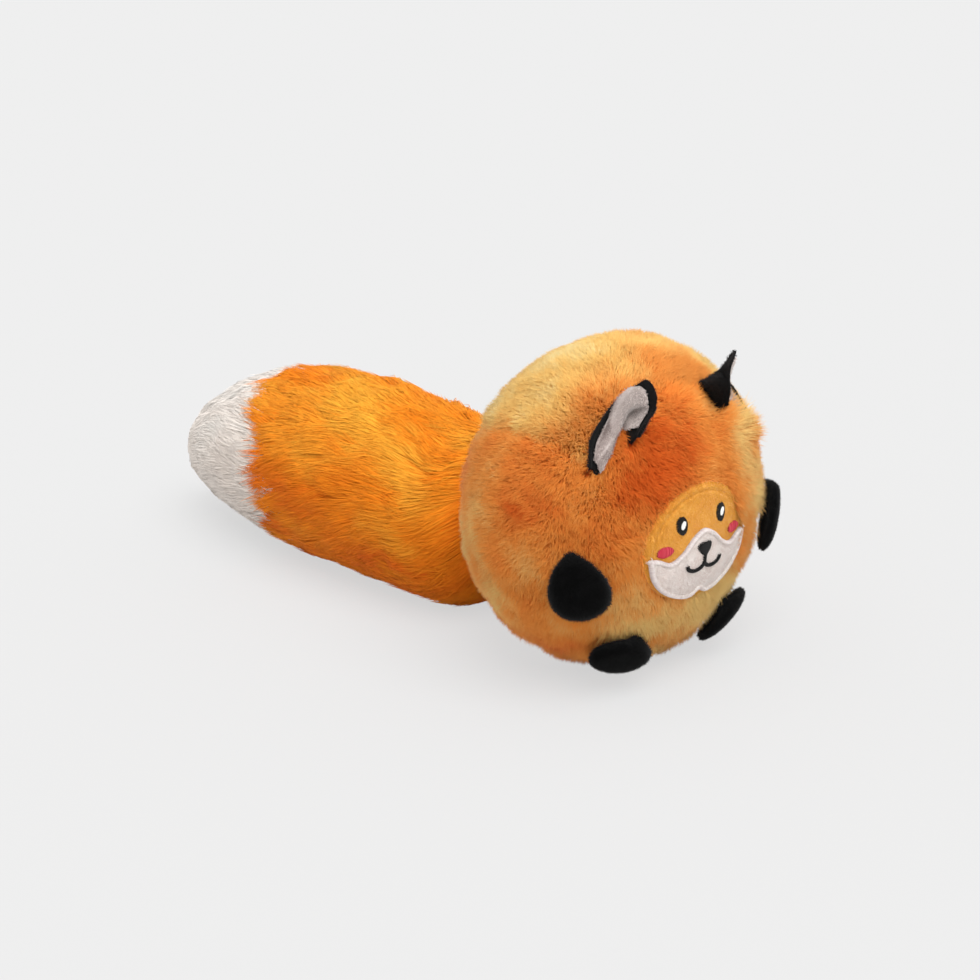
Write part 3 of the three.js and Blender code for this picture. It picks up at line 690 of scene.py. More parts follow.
work = bmesh.new()
bmesh.ops.create_icosphere(work, subdivisions=6, radius=1)
mesh = bpy.data.meshes.new("ball_stuffing")
work.to_mesh(mesh)
work.free()
way = np.empty(len(mesh.vertices) * 3, np.float32)
mesh.vertices.foreach_get("co", way)
way = way.reshape(-1, 3)
places = ball_centre + way * ball_half
out = outward(places)
pull, _ = seam_pull(places)
places = places - out * (pile_depth + backing_gap + seam_dip * pull)[:, None]
mesh.vertices.foreach_set("co", places.astype(np.float32).ravel())
mesh.polygons.foreach_set("use_smooth", np.ones(len(mesh.polygons), bool))
stuffing = placed("ball_stuffing", mesh)
mesh.materials.append(cloth_material("knit_backing", (206, 108, 42), (232, 142, 66), 1500, 0.0004))
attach(stuffing, "ball")
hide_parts("body_filling_front", "body_filling_back")
squeaker_plastic = cloth_material(
    "squeaker_plastic", (196, 200, 204), (214, 218, 222), 300, 0.0001, roughness=0.4, sheen=0)
for node in ("squeaker_bulb", "squeaker_reed"):
    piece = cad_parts[node]
    piece.data.materials.clear()
    piece.data.materials.append(squeaker_plastic)

# Face patch: an oval of short fleece let into the front panel, lower than the pile round it.
# A stitched line just inside its upper edge draws it in, and its rim turns down into the seam.
face_recess = 0.003
fleece_thickness = 0.002
face_groove_share, face_groove_width, face_groove_dip = 0.865, 0.022, 0.0006
face_roll_share, face_roll_dip = 0.92, 0.0016
face_hairs = 15000
fuzz_root, fuzz_stray = 0.0001, 0.45


def face_place(x, z, inset):
    """A place on the front of the ball, this far under its pile, by its x and height."""
    half = ball_half - np.asarray(inset)[..., None]
    rise = z - ball_centre[2]
    deep = np.sqrt(np.maximum(1 - (x / half[..., 0]) ** 2 - (rise / half[..., 2]) ** 2, 0.01))
    return np.stack(np.broadcast_arrays(x, -half[..., 1] * deep, z), -1)


def face_sink(share, turn):
    """How far the stitched line and the rolled rim draw the face down, round its oval."""
    upper = np.clip(np.sin(turn) * 2 + 0.9, 0, 1)
    groove = np.exp(-((share - face_groove_share) / face_groove_width) ** 2)
    roll = np.clip((share - face_roll_share) / (1 - face_roll_share), 0, 1) ** 2
    return face_groove_dip * upper * groove + face_roll_dip * roll


share = np.linspace(0, 1, 44)[:, None]
turn = np.linspace(0, 2 * pi, 129)[None, :-1]
x = share * face_half[0] * 0.995 * np.cos(turn)
z = face_middle_z + share * face_half[1] * 0.995 * np.sin(turn)
puff = 0.0003 * np.clip(1 - share ** 2, 0, 1)
top = face_place(x, z, face_recess + face_sink(share, turn) - puff)
under = face_place(x, z, np.full(x.shape, face_recess + fleece_thickness))
patch = cloth_piece("face_fleece", top, under, wrap=True)
patch.data.materials.append(
    cloth_material("face_fleece", (226, 148, 52), (242, 174, 70), 1900, 0.0005))
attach(patch, "ball")
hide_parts("face_patch")


def fuzz(name, roots, out, length, half_width, lean, material, body, seed, lay=None, shade=0):
    """Very short hairs over a cloth: each a single straight tapered strand."""
    rng = np.random.default_rng(seed)
    count = len(roots)
    stray = along_cloth(rng.normal(size=(count, 3)) * fuzz_stray, out)
    way = unit(out + lean + stray)
    tall = length * rng.uniform(0.6, 1.15, count)[:, None]
    tone = 0.5 + shade + 0.14 * mottle(roots, 0.004, seed) + 0.13 * rng.normal(size=count)
    paths = np.stack([roots - out * fuzz_root, roots + way * tall], 1)
    piece = strands(name, paths, np.full(count, half_width), tone, out if lay is None else lay,
                    (1,))
    piece.data.materials.append(material)
    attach(piece, body)


rng = np.random.default_rng(21)
spread = np.sqrt(rng.random(face_hairs)) * 0.985
turn = rng.uniform(0, 2 * pi, face_hairs)
x = spread * face_half[0] * np.cos(turn)
z = face_middle_z + spread * face_half[1] * np.sin(turn)
roots = face_place(x, z, face_recess + face_sink(spread, turn))
fleece_yellow = hair_material(
    "fleece_yellow", (228, 150, 52), (242, 172, 66), (252, 194, 90), (216, 136, 44), (234, 160, 58),
    reach=0.8)
fuzz("face_fuzz", roots, outward(roots), 0.0009, 0.00016, np.array([0, 0, -0.35]), fleece_yellow,
     "ball", 22)

# Muzzle: a white fleece patch sewn on the lower half of the face. Its edge is turned under and
# overstitched, which leaves a raised pinkish rim all round.
turned_edge = 0.0003
muzzle_height = 0.0012
muzzle_inset = face_recess - turned_edge - muzzle_height
muzzle_upper = [
    (-0.955, -0.03), (-0.8, -0.07), (-0.6, -0.17), (-0.4, -0.06), (-0.2, 0.15), (0, 0.25),
    (0.2, 0.15), (0.4, -0.06), (0.6, -0.17), (0.8, -0.07), (0.955, -0.03)]
muzzle_lower = [
    (-0.955, -0.03), (-0.88, -0.38), (-0.7, -0.66), (-0.38, -0.88), (-0.15, -0.92), (0, -0.83),
    (0.15, -0.92), (0.38, -0.88), (0.7, -0.66), (0.88, -0.38), (0.955, -0.03)]
muzzle_rim_width = 0.0015
muzzle_puff = 0.0006
muzzle_base = muzzle_inset + muzzle_puff
rim_middle, rim_half_width, rim_height = 0.0007, 0.0008, 0.0009
muzzle_hairs = 16000


def run_along(line):
    """How far along a line each of its points lies."""
    return np.concatenate([[0], np.cumsum(np.linalg.norm(np.diff(line, axis=0), axis=1))])


def at_run(way, run, line):
    """The flat points of a line at these ways along it."""
    return np.stack([np.interp(way, run, line[:, k]) for k in (0, 1)], 1)


def muzzle_edge(shares):
    """An edge of the muzzle as x and height, even steps along it."""
    knots = [(x * face_half[0], 0, face_middle_z + rise * face_half[1]) for x, rise in shares]
    line = through(knots, np.linspace(0, 1, 400))
    run = run_along(line)
    return at_run(np.linspace(0, run[-1], 161), run, line[:, [0, 2]])


upper_edge, lower_edge = muzzle_edge(muzzle_upper), muzzle_edge(muzzle_lower)
muzzle_rim = np.concatenate([upper_edge, lower_edge[::-1][1:-1]])


def edge_far(flat, rim):
    """How far each flat point is from a closed outline."""
    a, b = rim, np.roll(rim, -1, axis=0)
    ab = b - a
    t = ((flat[:, None] - a) * ab).sum(2) / np.maximum((ab ** 2).sum(1), 1e-18)
    near = a + np.clip(t, 0, 1)[:, :, None] * ab
    return np.linalg.norm(flat[:, None] - near, axis=2).min(1)


def inside_rim(flat, rim):
    """Whether each flat point is inside a closed outline."""
    a, b = rim, np.roll(rim, -1, axis=0)
    crosses = (a[:, 1] > flat[:, None, 1]) != (b[:, 1] > flat[:, None, 1])
    run = (b[:, 0] - a[:, 0]) / np.where(b[:, 1] == a[:, 1], 1e-18, b[:, 1] - a[:, 1])
    at = a[:, 0] + (flat[:, None, 1] - a[:, 1]) * run
    return (crosses & (flat[:, None, 0] < at)).sum(1) % 2 == 1


def muzzle_rise(far):
    """How high the muzzle stands over its own lowest level, by the way in from its edge."""
    rim = np.sqrt(np.maximum(1 - ((far - rim_middle) / rim_half_width) ** 2, 0)) * rim_height
    inner = muzzle_puff * (1 - np.exp(-np.maximum(far - 0.001, 0) / 0.003))
    return np.maximum(rim, inner)


mix = (0.5 - 0.5 * np.cos(np.linspace(0, pi, 61)))[:, None, None]
flat = upper_edge[None] * (1 - mix) + lower_edge[None] * mix
rows, columns = flat.shape[:2]
far = edge_far(flat.reshape(-1, 2), muzzle_rim).reshape(rows, columns)
top = face_place(flat[..., 0], flat[..., 1], muzzle_base - muzzle_rise(far))
under = face_place(flat[..., 0], flat[..., 1], np.full(far.shape, face_recess - 0.0002))
muzzle = cloth_piece("muzzle_fleece", top, under)
muzzle.data.materials.append(
    cloth_material("muzzle_fleece", (240, 226, 218), (252, 244, 238), 1900, 0.0004))
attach(muzzle, "ball")
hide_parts("muzzle_patch")

rng = np.random.default_rng(31)
flat = rng.uniform((-face_half[0], face_middle_z - face_half[1]),
                   (face_half[0], face_middle_z + face_half[1] * 0.4), (muzzle_hairs, 2))
flat = flat[inside_rim(flat, muzzle_rim)]
far = edge_far(flat, muzzle_rim)
roots = face_place(flat[:, 0], flat[:, 1], muzzle_base - muzzle_rise(far))
fleece_white = hair_material(
    "fleece_white", (234, 216, 207), (246, 233, 226), (254, 248, 243), (226, 206, 198),
    (242, 230, 222), reach=0.8)
fuzz("muzzle_fuzz", roots, outward(roots), 0.00065, 0.00014, np.array([0, 0, -0.3]), fleece_white,
     "ball", 32)

# Muzzle rim: the overstitch that holds the muzzle, in pinkish white thread that slants over
# the turned edge.
thread_radius = 0.00019
overstitch_spacing, overstitch_slant = 0.00042, 0.0004
overstitch_sunk, overstitch_lift = 0.0008, 0.0012
stitch_dive, stitch_steps = 0.0004, 7


def thread_piece(name, paths, rng, tone, uneven, material, radius=thread_radius):
    """Stitches as round threads, one along each path, with both ends sunk in the cloth."""
    tones = tone + uneven * rng.normal(size=len(paths))
    lay = outward(paths[:, paths.shape[1] // 2])
    piece = strands(name, paths, np.full(len(paths), radius), tones, lay,
                    [0.6] + [1.0] * (paths.shape[1] - 3) + [0.85], sides=5)
    piece.data.materials.append(material)
    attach(piece, "ball")
    return piece


def arched(start, end, inset, lift):
    """Stitches from start to end, given flat, that rise from the cloth and dive back in."""
    t = np.linspace(0, 1, stitch_steps)
    flat = start[:, None] * (1 - t)[None, :, None] + end[:, None] * t[None, :, None]
    arch = lift * np.sin(pi * t) ** 0.6 - stitch_dive * (np.abs(t - 0.5) > 0.49)
    return face_place(flat[..., 0], flat[..., 1], inset - arch[None, :] + np.zeros(flat.shape[:2]))


def thread_material(name, dark, mid, pale):
    return hair_material(name, dark, mid, pale, dark, mid, reach=0.4, sheen=0.03, roughness=0.45,
                         specular=0.25)


thread_white = thread_material("thread_white", (214, 196, 192), (236, 224, 220), (250, 246, 242))
ring = np.concatenate([muzzle_rim, muzzle_rim[:1]])
run = run_along(ring)
even = np.arange(0, run[-1], overstitch_spacing)
outer = at_run(even, run, ring)
ahead = at_run((even + overstitch_slant) % run[-1], run, ring) - outer
across = unit(np.stack([ahead[:, 1], -ahead[:, 0]], 1))
inner = outer + across * muzzle_rim_width + unit(ahead) * overstitch_slant
flip = ~inside_rim(inner, muzzle_rim)
inner[flip] = outer[flip] - across[flip] * muzzle_rim_width + unit(ahead)[flip] * overstitch_slant
outer = outer - (inner - outer) * 0.18
paths = arched(outer, inner, muzzle_inset + overstitch_sunk, overstitch_lift)
thread_piece("muzzle_overstitch", paths, np.random.default_rng(33), 0.5, 0.15, thread_white)

# Eyes, highlights, cheeks, nose and mouth: satin stitch, thread beside thread across each
# shape, black on the eyes, nose and mouth, white on the highlights and pink on the cheeks.
eye_place = np.array([0.0108, 0.0026])
eye_half = np.array([0.0036, 0.0038])
glint_half = np.array([0.0012, 0.0018])
cheek_place = np.array([0.019, -0.0066])
cheek_half = np.array([0.0037, 0.0030])
nose_drop, nose_half = 0.0096, np.array([0.0036, 0.0032])
mouth_drop, mouth_half_width, mouth_sag, mouth_stroke = 0.0150, 0.0090, 0.003, 0.0018
stitch_spacing = 0.00029
glint_turn, glint_shift, glint_thread_radius = radians(-24), (0.0002, 0.0003), 0.00017
eye_lift, glint_raise, glint_lift, cheek_lift = 0.00095, 0.0009, 0.00045, 0.0009
nose_lift, mouth_lift = 0.0011, 0.0010
stitch_sunk = 0.0001


def satin_rows(outline_at, low, high, slant=0.0):
    """Both ends of each stitch of a shape, from outline_at(height) to its two edges."""
    rows = np.arange(low + stitch_spacing / 2, high, stitch_spacing)
    edges = np.array([outline_at(row) for row in rows])
    start = np.stack([edges[:, 0], rows - slant * (edges[:, 1] - edges[:, 0]) / 2], 1)
    end = np.stack([edges[:, 1], rows + slant * (edges[:, 1] - edges[:, 0]) / 2], 1)
    return start, end


def oval_rows(half, slant=0.0):
    """Stitches across an oval about its own middle."""
    def edges(row):
        reach = half[0] * sqrt(max(1 - (row / half[1]) ** 2, 0))
        return -reach, reach
    return satin_rows(edges, -half[1], half[1], slant)


def turned(flat, angle):
    return flat @ np.array([[cos(angle), sin(angle)], [-sin(angle), cos(angle)]])


thread_black = thread_material("thread_black", (5, 4, 4), (13, 12, 12), (30, 28, 28))
thread_pink = thread_material("thread_pink", (160, 26, 44), (194, 48, 68), (220, 86, 100))
thread_glint = thread_material("thread_glint", (228, 228, 224), (246, 246, 242), (255, 255, 252))
rng = np.random.default_rng(41)
patch_top = face_recess + stitch_sunk
for side, name in ((1, "left"), (-1, "right")):
    mirror = np.array([side, 1])
    middle = eye_place * mirror + [0, ball_centre[2]]
    start, end = oval_rows(eye_half, 0.1)
    paths = arched(start * mirror + middle, end * mirror + middle, patch_top, eye_lift)
    eye = thread_piece("eye_stitch_" + name, paths, rng, 0.4, 0.2, thread_black)
    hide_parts("eye_" + name)
    start, end = (turned(flat, glint_turn) + glint_shift for flat in oval_rows(glint_half))
    paths = arched(start + middle, end + middle, patch_top - glint_raise, glint_lift)
    glint = thread_piece("eye_highlight_stitch_" + name, paths, rng, 0.5, 0.2, thread_glint,
                         radius=glint_thread_radius)
    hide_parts("eye_highlight_" + name)
    middle = cheek_place * mirror + [0, ball_centre[2]]
    start, end = oval_rows(cheek_half[::-1])
    paths = arched(start[:, ::-1] + middle, end[:, ::-1] + middle, patch_top, cheek_lift)
    cheek = thread_piece("cheek_stitch_" + name, paths, rng, 0.5, 0.2, thread_pink)
    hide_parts("cheek_" + name)

muzzle_top = muzzle_inset + stitch_sunk
t = np.linspace(0, 1, 60)
nose_x = 3 * (1 - t) ** 2 * t * nose_half[0] * 1.5 + 3 * (1 - t) * t ** 2 * 1.7 * nose_half[0]
nose_z = ((1 - t) ** 3 * -1 + 3 * (1 - t) * t ** 2 + t ** 3) * nose_half[1]
nose_middle = np.array([0, ball_centre[2] - nose_drop])


def nose_edges(row):
    reach = np.interp(row, nose_z, nose_x)
    return -reach, reach


start, end = satin_rows(nose_edges, -nose_half[1], nose_half[1])
paths = arched(start + nose_middle, end + nose_middle, muzzle_top, nose_lift)
nose = thread_piece("nose_stitch", paths, rng, 0.4, 0.2, thread_black)
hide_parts("nose")

arc_half = mouth_half_width / 2
mouth_z = ball_centre[2] - mouth_drop
bend = np.linspace(pi, 2 * pi, 300)
mouth_x, sag = arc_half * np.cos(bend), mouth_sag * np.sin(bend)
lines = [np.stack([side * arc_half + mouth_x, mouth_z + sag], 1) for side in (-1, 1)]
lines.append(np.array([[0, mouth_z], [0, ball_centre[2] - nose_drop - nose_half[1]]]))
starts, ends = [], []
for line in lines:
    run = run_along(line)
    even = np.arange(0, run[-1], stitch_spacing)
    at = at_run(even, run, line)
    step = (at_run(np.minimum(even + 1e-4, run[-1]), run, line)
            - at_run(np.maximum(even - 1e-4, 0), run, line))
    across = unit(np.stack([step[:, 1], -step[:, 0]], 1))
    starts.append(at - across * mouth_stroke / 2)
    ends.append(at + across * mouth_stroke / 2)
paths = arched(np.concatenate(starts), np.concatenate(ends), muzzle_top, mouth_lift)
mouth = thread_piece("mouth_stitch", paths, rng, 0.4, 0.2, thread_black)
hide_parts("mouth")

# Ears: black felt lined with pale short pile, folded round a spine so that they open
# outwards. The base is caught in the front seam, and the rounded tip stands over the crown.
ear_bow = 0.0035
ear_felt, ear_lining = 0.0012, 0.0009
ear_borders = {"left": 0.0065, "right": 0.003}
ear_sunk = 0.004
ear_felt_gap, ear_lining_gap = 0.00015, 0.0003
ear_fuzz_shift, ear_fuzz_half_width = 0.00025, 0.00013
# The free edge, from the outer end over the tip and down the flap, as the base is given, with
# the share of the tip's rise.
ear_edge_shares = [
    (1, 0.65, 0.05), (0.81, 0.59, 0.1), (0.63, 0.58, 0.2), (0.51, 0.585, 0.43), (0.39, 0.62, 1),
    (0.363, 0.675, 0.79), (0.4, 0.705, 0.62), (0.48, 0.72, 0.4), (0.565, 0.735, 0.14)]
ear_edge_knots = ear_knots(ear_edge_shares)


def ear_tall(along):
    """The way up from the ear's base to its free edge."""
    return np.linalg.norm(through(ear_edge_knots, along) - through(ear_base_knots, along), axis=-1)


def ear_place(along, up):
    """A place on the left ear's middle surface: along its base line, and up to its free edge.
    It bows out towards the felt where the ear is tall."""
    along, up = np.broadcast_arrays(np.asarray(along, float), np.asarray(up, float))
    base, edge = through(ear_base_knots, along), through(ear_edge_knots, along)
    run = (through(ear_base_knots, np.minimum(along + 0.005, 1))
           - through(ear_base_knots, np.maximum(along - 0.005, 0)))
    share = np.clip(up, 0, 1)
    bow = ear_bow * 4 * share * (1 - share) * ear_tall(along) / ear_tall(0.5)
    return base + (edge - base) * up[..., None] + unit(np.cross(run, edge - base)) * bow[..., None]


def ear_sheet(near, far, border, columns, rows):
    """Outer and inner grid of a felt layer between two distances from the middle surface,
    thinned to a round edge at its sides and top."""
    base_length = run_along(ear_base_line)[-1]
    side = border / base_length
    along = np.linspace(side, 1 - side, columns)[None, :]
    tall = ear_tall(along)
    high = -ear_sunk + (tall - border + ear_sunk) * np.linspace(0, 1, rows)[:, None]
    up = high / tall
    step = 0.01
    across = ear_place(np.minimum(along + step, 1), up) - ear_place(np.maximum(along - step, 0), up)
    rise = ear_place(along, up + step) - ear_place(along, up - step)
    out = unit(np.cross(across, rise))
    to_side = np.minimum(along - side, 1 - side - along) * base_length
    edge = np.minimum(to_side, tall - border - high)
    edge = np.clip(edge / (abs(far - near) * 0.6), 0, 1)
    full = np.sqrt(1 - (1 - edge) ** 2) * 0.45 + 0.05
    middle = ear_place(along, up) + out * (near + far) / 2
    ripple = 0.00012 * mottle(middle.reshape(-1, 3), 0.004, 51).reshape(middle.shape[:2])
    full = (full * abs(far - near) + ripple)[..., None]
    return middle + out * full, middle - out * full, out


felt_black = cloth_material("felt_black", (3, 3, 3), (10, 10, 11), 2300, 0.0004, 0.95, 0.04)
lining_cloth = cloth_material("ear_lining_cloth", (180, 165, 160), (206, 194, 188), 2100, 0.0004)
lining_hair = hair_material(
    "ear_lining", (156, 142, 136), (200, 184, 178), (254, 244, 238), (150, 134, 130),
    (226, 212, 206), reach=0.8)
black_hair = hair_material(
    "paw_black", (2, 2, 2), (6, 6, 7), (18, 17, 18), (1, 1, 1), (4, 4, 4), reach=0.6, sheen=0.06)
for side, name in ((1, "left"), (-1, "right")):
    mirror = np.array([side, 1, 1])
    for part, node, near, far, border, cloth, slot, hairs, length, coat in (
            ("felt", "ear_back_", ear_felt_gap, ear_felt_gap + ear_felt, 0.0, felt_black,
             "felt_black", 9000, 0.0006, black_hair),
            ("lining", "ear_lining_", -ear_lining_gap - ear_lining, -ear_lining_gap,
             ear_borders[name], lining_cloth, "ear_lining", 5200, 0.0008, lining_hair)):
        lining = part == "lining"
        top, under, out = ear_sheet(near, far, border, 90, 46)
        piece = cloth_piece("ear_" + part + "_" + name, top * mirror, under * mirror)
        piece.data.materials.append(cloth)
        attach(piece, "ear_" + name)
        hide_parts(node + name)
        rng = np.random.default_rng(60 + side)
        columns = out.shape[1]
        pick = rng.integers(0, out.shape[0] * columns, hairs)
        face, face_way = (under, -out) if lining else (top, out)
        roots = face.reshape(-1, 3)[pick] + rng.normal(size=(hairs, 3)) * ear_fuzz_shift
        way = face_way.reshape(-1, 3)[pick] * mirror
        # The pale lining is thin and lets light through, so its hairs are lit as if they lay
        # upwards. Its flap is painted paler than the rest: painted light against the shade inside
        # the fold.
        lay = unit(way + [0, -0.5, 1.1]) if lining else way
        flap = np.clip((pick % columns / columns - 0.42) / 0.1, 0, 1)
        fuzz("ear_" + part + "_fuzz_" + name, roots * mirror, way, length, ear_fuzz_half_width,
             np.array([0, -0.1, 0.5]), coat, "ear_" + name, 61, lay,
             flap * 0.75 - 0.3 if lining else 0)

# Paws: small black plush cushions with a seam round their rim, hung from the front seam.
# The arms are teardrops, and the feet are wider than they are long.
paw_gap, paw_hair_room, paw_rim_half = 0.0003, 0.0004, 0.0002
paw_sunk, paw_sunk_share = 0.004, 0.78
paw_hairs = 15000
for kind, paw in paw_sizes.items():
    middle, across, down, out = paw_frame(paw)
    lift = paw_gap + paw["thickness"] / 2

    def paw_place(share, turn, height):
        """A place in the paw, by its share of the way to the rim, its turn and its height."""
        low = share * paw["length"] / 2 * np.sin(turn)
        wide = share * paw["width"] / 2 * np.cos(turn) * (1 + paw["taper"] * np.sin(turn))
        flat = middle + across * wide[..., None] + down * low[..., None]
        foot = onto_ball(flat)
        # The upper end turns down into the pile, where the seam holds it.
        upper = np.clip((-share * np.sin(turn) - paw_sunk_share) / (1 - paw_sunk_share), 0, 1)
        return foot + outward(foot) * (lift + height - paw_sunk * upper ** 2)[..., None]

    def paw_swell(share):
        """How far each face of the paw stands off its middle."""
        return (paw["thickness"] / 2 - paw_hair_room) * np.sqrt(np.maximum(1 - share ** 2.4, 0))

    share = (1 - (1 - np.linspace(0, 1, 26)) ** 1.5)[:, None]
    turn = np.linspace(0, 2 * pi, 97)[None, :-1]
    pucker = 1 + 0.05 * share ** 3 * np.cos(13 * turn + 2 * np.sin(3 * turn))
    crown = paw_swell(share) * pucker
    egg = share + 0 * turn
    round_turn = turn + 0 * share
    for side, name in ((1, "left"), (-1, "right")):
        mirror = np.array([side, 1, 1])
        top = paw_place(egg, round_turn, crown + paw_rim_half) * mirror
        under = paw_place(egg, round_turn, -crown - paw_rim_half) * mirror
        cushion = cloth_piece(kind + "_cushion_" + name, top, under, wrap=True)
        cushion.data.materials.append(felt_black)
        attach(cushion, kind + "_" + name)
        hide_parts(*(kind + part + name for part in ("_cover_", "_back_", "_filling_")))
        rng = np.random.default_rng(70 + side)
        spread = np.sqrt(rng.random(paw_hairs))
        around = rng.uniform(0, 2 * pi, paw_hairs)
        face = np.where(rng.random(paw_hairs) < 0.66, 1, -1)
        roots = paw_place(spread, around, face * (paw_swell(spread) + 0.0001))
        nearby = paw_place(spread * 0.97, around, face * (paw_swell(spread * 0.97) + 0.0001))
        radial = unit(along_cloth(roots - nearby, outward(roots)))
        way = unit(outward(roots) * face[:, None] * (1.02 - spread ** 4)[:, None]
                   + radial * (spread ** 4)[:, None])
        fuzz(kind + "_pile_" + name, roots * mirror, way * mirror, 0.0017, 0.00017,
             down * 0.5 * mirror, black_hair, kind + "_" + name, 71 + side)

# Tail: long silky pile on a sewn sleeve that is gathered into the back seam. The hair lies
# back in locks, orange up to the seam of the white tip, which the last orange locks overlap.
gather_low, gather_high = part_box("tail_root_gather")
tail_start = (np.array(gather_low) + np.array(gather_high)) / 2
tail_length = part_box("tail_tip_fur")[1].y - tail_start[1]
tail_radius = 0.045
tip_seam_share = 0.148 / tail_length
tail_widest_share, tip_held_share = 0.48, 0.55
# The tail's size at each share of its length, and how far down it lies: 0 in line with its root,
# 1 on the floor.
tail_profile = np.array([
    (-0.02, 0.30, 0), (0.0, 0.46, 0), (0.02, 0.63, 0.06), (0.05, 0.78, 0.3), (0.09, 0.87, 0.7),
    (0.14, 0.925, 1), (0.22, 0.96, 1), (0.35, 0.99, 1), (0.48, 1, 1), (0.62, 0.965, 1),
    (0.7, 0.915, 1), (0.78, 0.82, 1), (0.85, 0.70, 1), (0.915, 0.56, 1), (0.965, 0.40, 1),
    (0.992, 0.24, 1), (1.0, 0.16, 1), (1.03, 0.05, 1)])
pelt_share = 0.77
tail_flat = 0.0005
hair_length = 0.031
hair_half_width = 0.00022
hairs_per_lock_piece = 13000
tail_columns, lock_length, lock_depth = 18, 0.045, 0.0045


def tail_place(share, turn, reach):
    """A place in the tail: its share of the way along, its turn round, and its reach from the
    middle in shares of the tail's radius there."""
    size = np.interp(share, tail_profile[:, 0], tail_profile[:, 1])
    down = np.interp(share, tail_profile[:, 0], tail_profile[:, 2])
    radius = tail_radius * size
    held = size + (share > tail_widest_share) * tip_held_share * (1 - size)
    middle = tail_start[2] * (1 - down) + (tail_radius * held - tail_flat) * down
    return np.stack([radius * reach * np.cos(turn), tail_start[1] + share * tail_length,
                     middle + radius * reach * np.sin(turn)], -1)


def lock_fall(share, turn):
    """How far the tail's broad locks fall below its full radius, in shares of that radius: each
    lifts along the tail and ends in a step. Neighbours are staggered, none are on the floor."""
    column = (-turn / (2 * pi) * tail_columns) % tail_columns
    low = np.floor(column)
    fall = [1 - (share * tail_length / lock_length + (near % 2) / 2) % 1 for near in (low, low + 1)]
    mixed = fall[0] * (low + 1 - column) + fall[1] * (column - low)
    return lock_depth / tail_radius * np.clip(1 + np.sin(turn), 0, 1) * mixed


def tail_out(share, turn):
    """The way out of the tail's surface."""
    ahead = tail_place(share + 0.01, turn, 1.0) - tail_place(share - 0.01, turn, 1.0)
    round_way = np.stack([-np.sin(turn), np.zeros(len(turn)), np.cos(turn)], -1)
    return unit(np.cross(ahead, round_way))


def tail_scatter(count, low, high, rng):
    """Places spread evenly over a stretch of the tail: share of its length, turn and point."""
    many = rng.uniform(low, high, 6 * count)
    size = np.interp(many, tail_profile[:, 0], tail_profile[:, 1])
    share = many[rng.random(6 * count) < size][:count]
    turn = rng.uniform(0, 2 * pi, len(share))
    return share, turn, tail_place(share, turn, 1.0)


def tail_locks(count, low, high, seed):
    """Locks of hair spread over a stretch of the tail: where each is rooted and where it ends."""
    rng = np.random.default_rng(seed)
    share, turn, at = tail_scatter(count, low, high, rng)
    long = hair_length * (0.92 + 0.16 * rng.normal(size=len(share)).clip(-1.5, 1.5))
    drift = (-0.10 * np.cos(turn) + 0.13 * mottle(at, 0.024, seed + 1)
             + 0.07 * rng.normal(size=len(share)))
    return dict(share=share, turn=turn, at=at, end_share=share + long * 0.93 / tail_length,
                end_turn=turn + drift, rise=1 + 0.010 * rng.normal(size=len(share)).clip(-2, 2),
                tone=rng.normal(size=len(share)))


def tail_hair(count, low, high, locks, seed, spare=0.0):
    """Paths of the tail's hairs, each drawn towards the end of the lock that it belongs to."""
    rng = np.random.default_rng(seed)
    share, turn, at = tail_scatter(count, low, high, rng)
    lock = nearest_of(locks["at"], at)
    lock_end, lock_turn = locks["end_share"][lock], locks["end_turn"][lock]
    shift = rng.normal(size=len(share))
    own_end = share + (lock_end - locks["share"][lock]) * (1 + 0.10 * shift)
    own_turn = turn + lock_turn - locks["turn"][lock] + 0.05 * rng.normal(size=len(share))
    cling = rng.uniform(0.1, 0.5, len(share))
    apart = (lock_turn - own_turn + pi) % (2 * pi) - pi
    end_turn = own_turn + cling * apart
    end_share = own_end + cling * 0.7 * (lock_end - own_end)
    last = np.maximum(share + 0.012, 0.985 + 0.02 * rng.random(len(share)))
    end_share = np.minimum(end_share, last)
    # The last hairs close over the end of the tip.
    inward = np.where(share > 0.92, 1 - np.sqrt(rng.random(len(share))), 0)
    end_share += 0.014 * inward
    rise = locks["rise"][lock] * (1 + 0.012 * rng.normal(size=len(share))) + spare
    t = np.array([0, 0.34, 0.68, 1.0])[None]
    out_share = share[:, None] + (end_share - share)[:, None] * t
    out_turn = turn[:, None] + (end_turn - turn)[:, None] * t ** 1.4
    fall = lock_fall(out_share, out_turn)
    reach = pelt_share + (rise[:, None] - fall - pelt_share) * (1 - (1 - t) ** 2.6)
    reach *= 1 + 0.003 * np.sin(7 * t + 6 * rng.random((len(share), 1)))
    reach *= 1 - inward[:, None] * t
    paths = tail_place(out_share.ravel(), out_turn.ravel(), reach.ravel()).reshape(len(share), 4, 3)
    lay = tail_out((share + end_share) / 2, (turn + end_turn) / 2)
    # Hairs on top of the tail are paler and those under it deeper: painted light and painted shade.
    tone = (0.48 + 0.13 * mottle(at * [1, 0.32, 1], 0.014, seed + 2) + 0.04 * locks["tone"][lock]
            + 0.025 * rng.normal(size=len(share)) + 0.20 * lay[:, 2])
    return paths, lay, tone, turn, share


tail_orange = hair_material(
    "tail_orange", (238, 98, 12), (254, 142, 24), (255, 188, 62), (222, 88, 10), (250, 130, 18),
    reach=0.6, sheen=0.02)
tail_white = hair_material(
    "tail_white", (248, 234, 222), (255, 244, 234), (255, 252, 245), (244, 228, 212),
    (252, 240, 228), reach=0.5, sheen=0.2)


def seam_bend(piece):
    """Bakes the piece's place in the scene into its points."""
    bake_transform(piece)


orange_end_back = 0.57
orange_end = tip_seam_share - orange_end_back * hair_length / tail_length
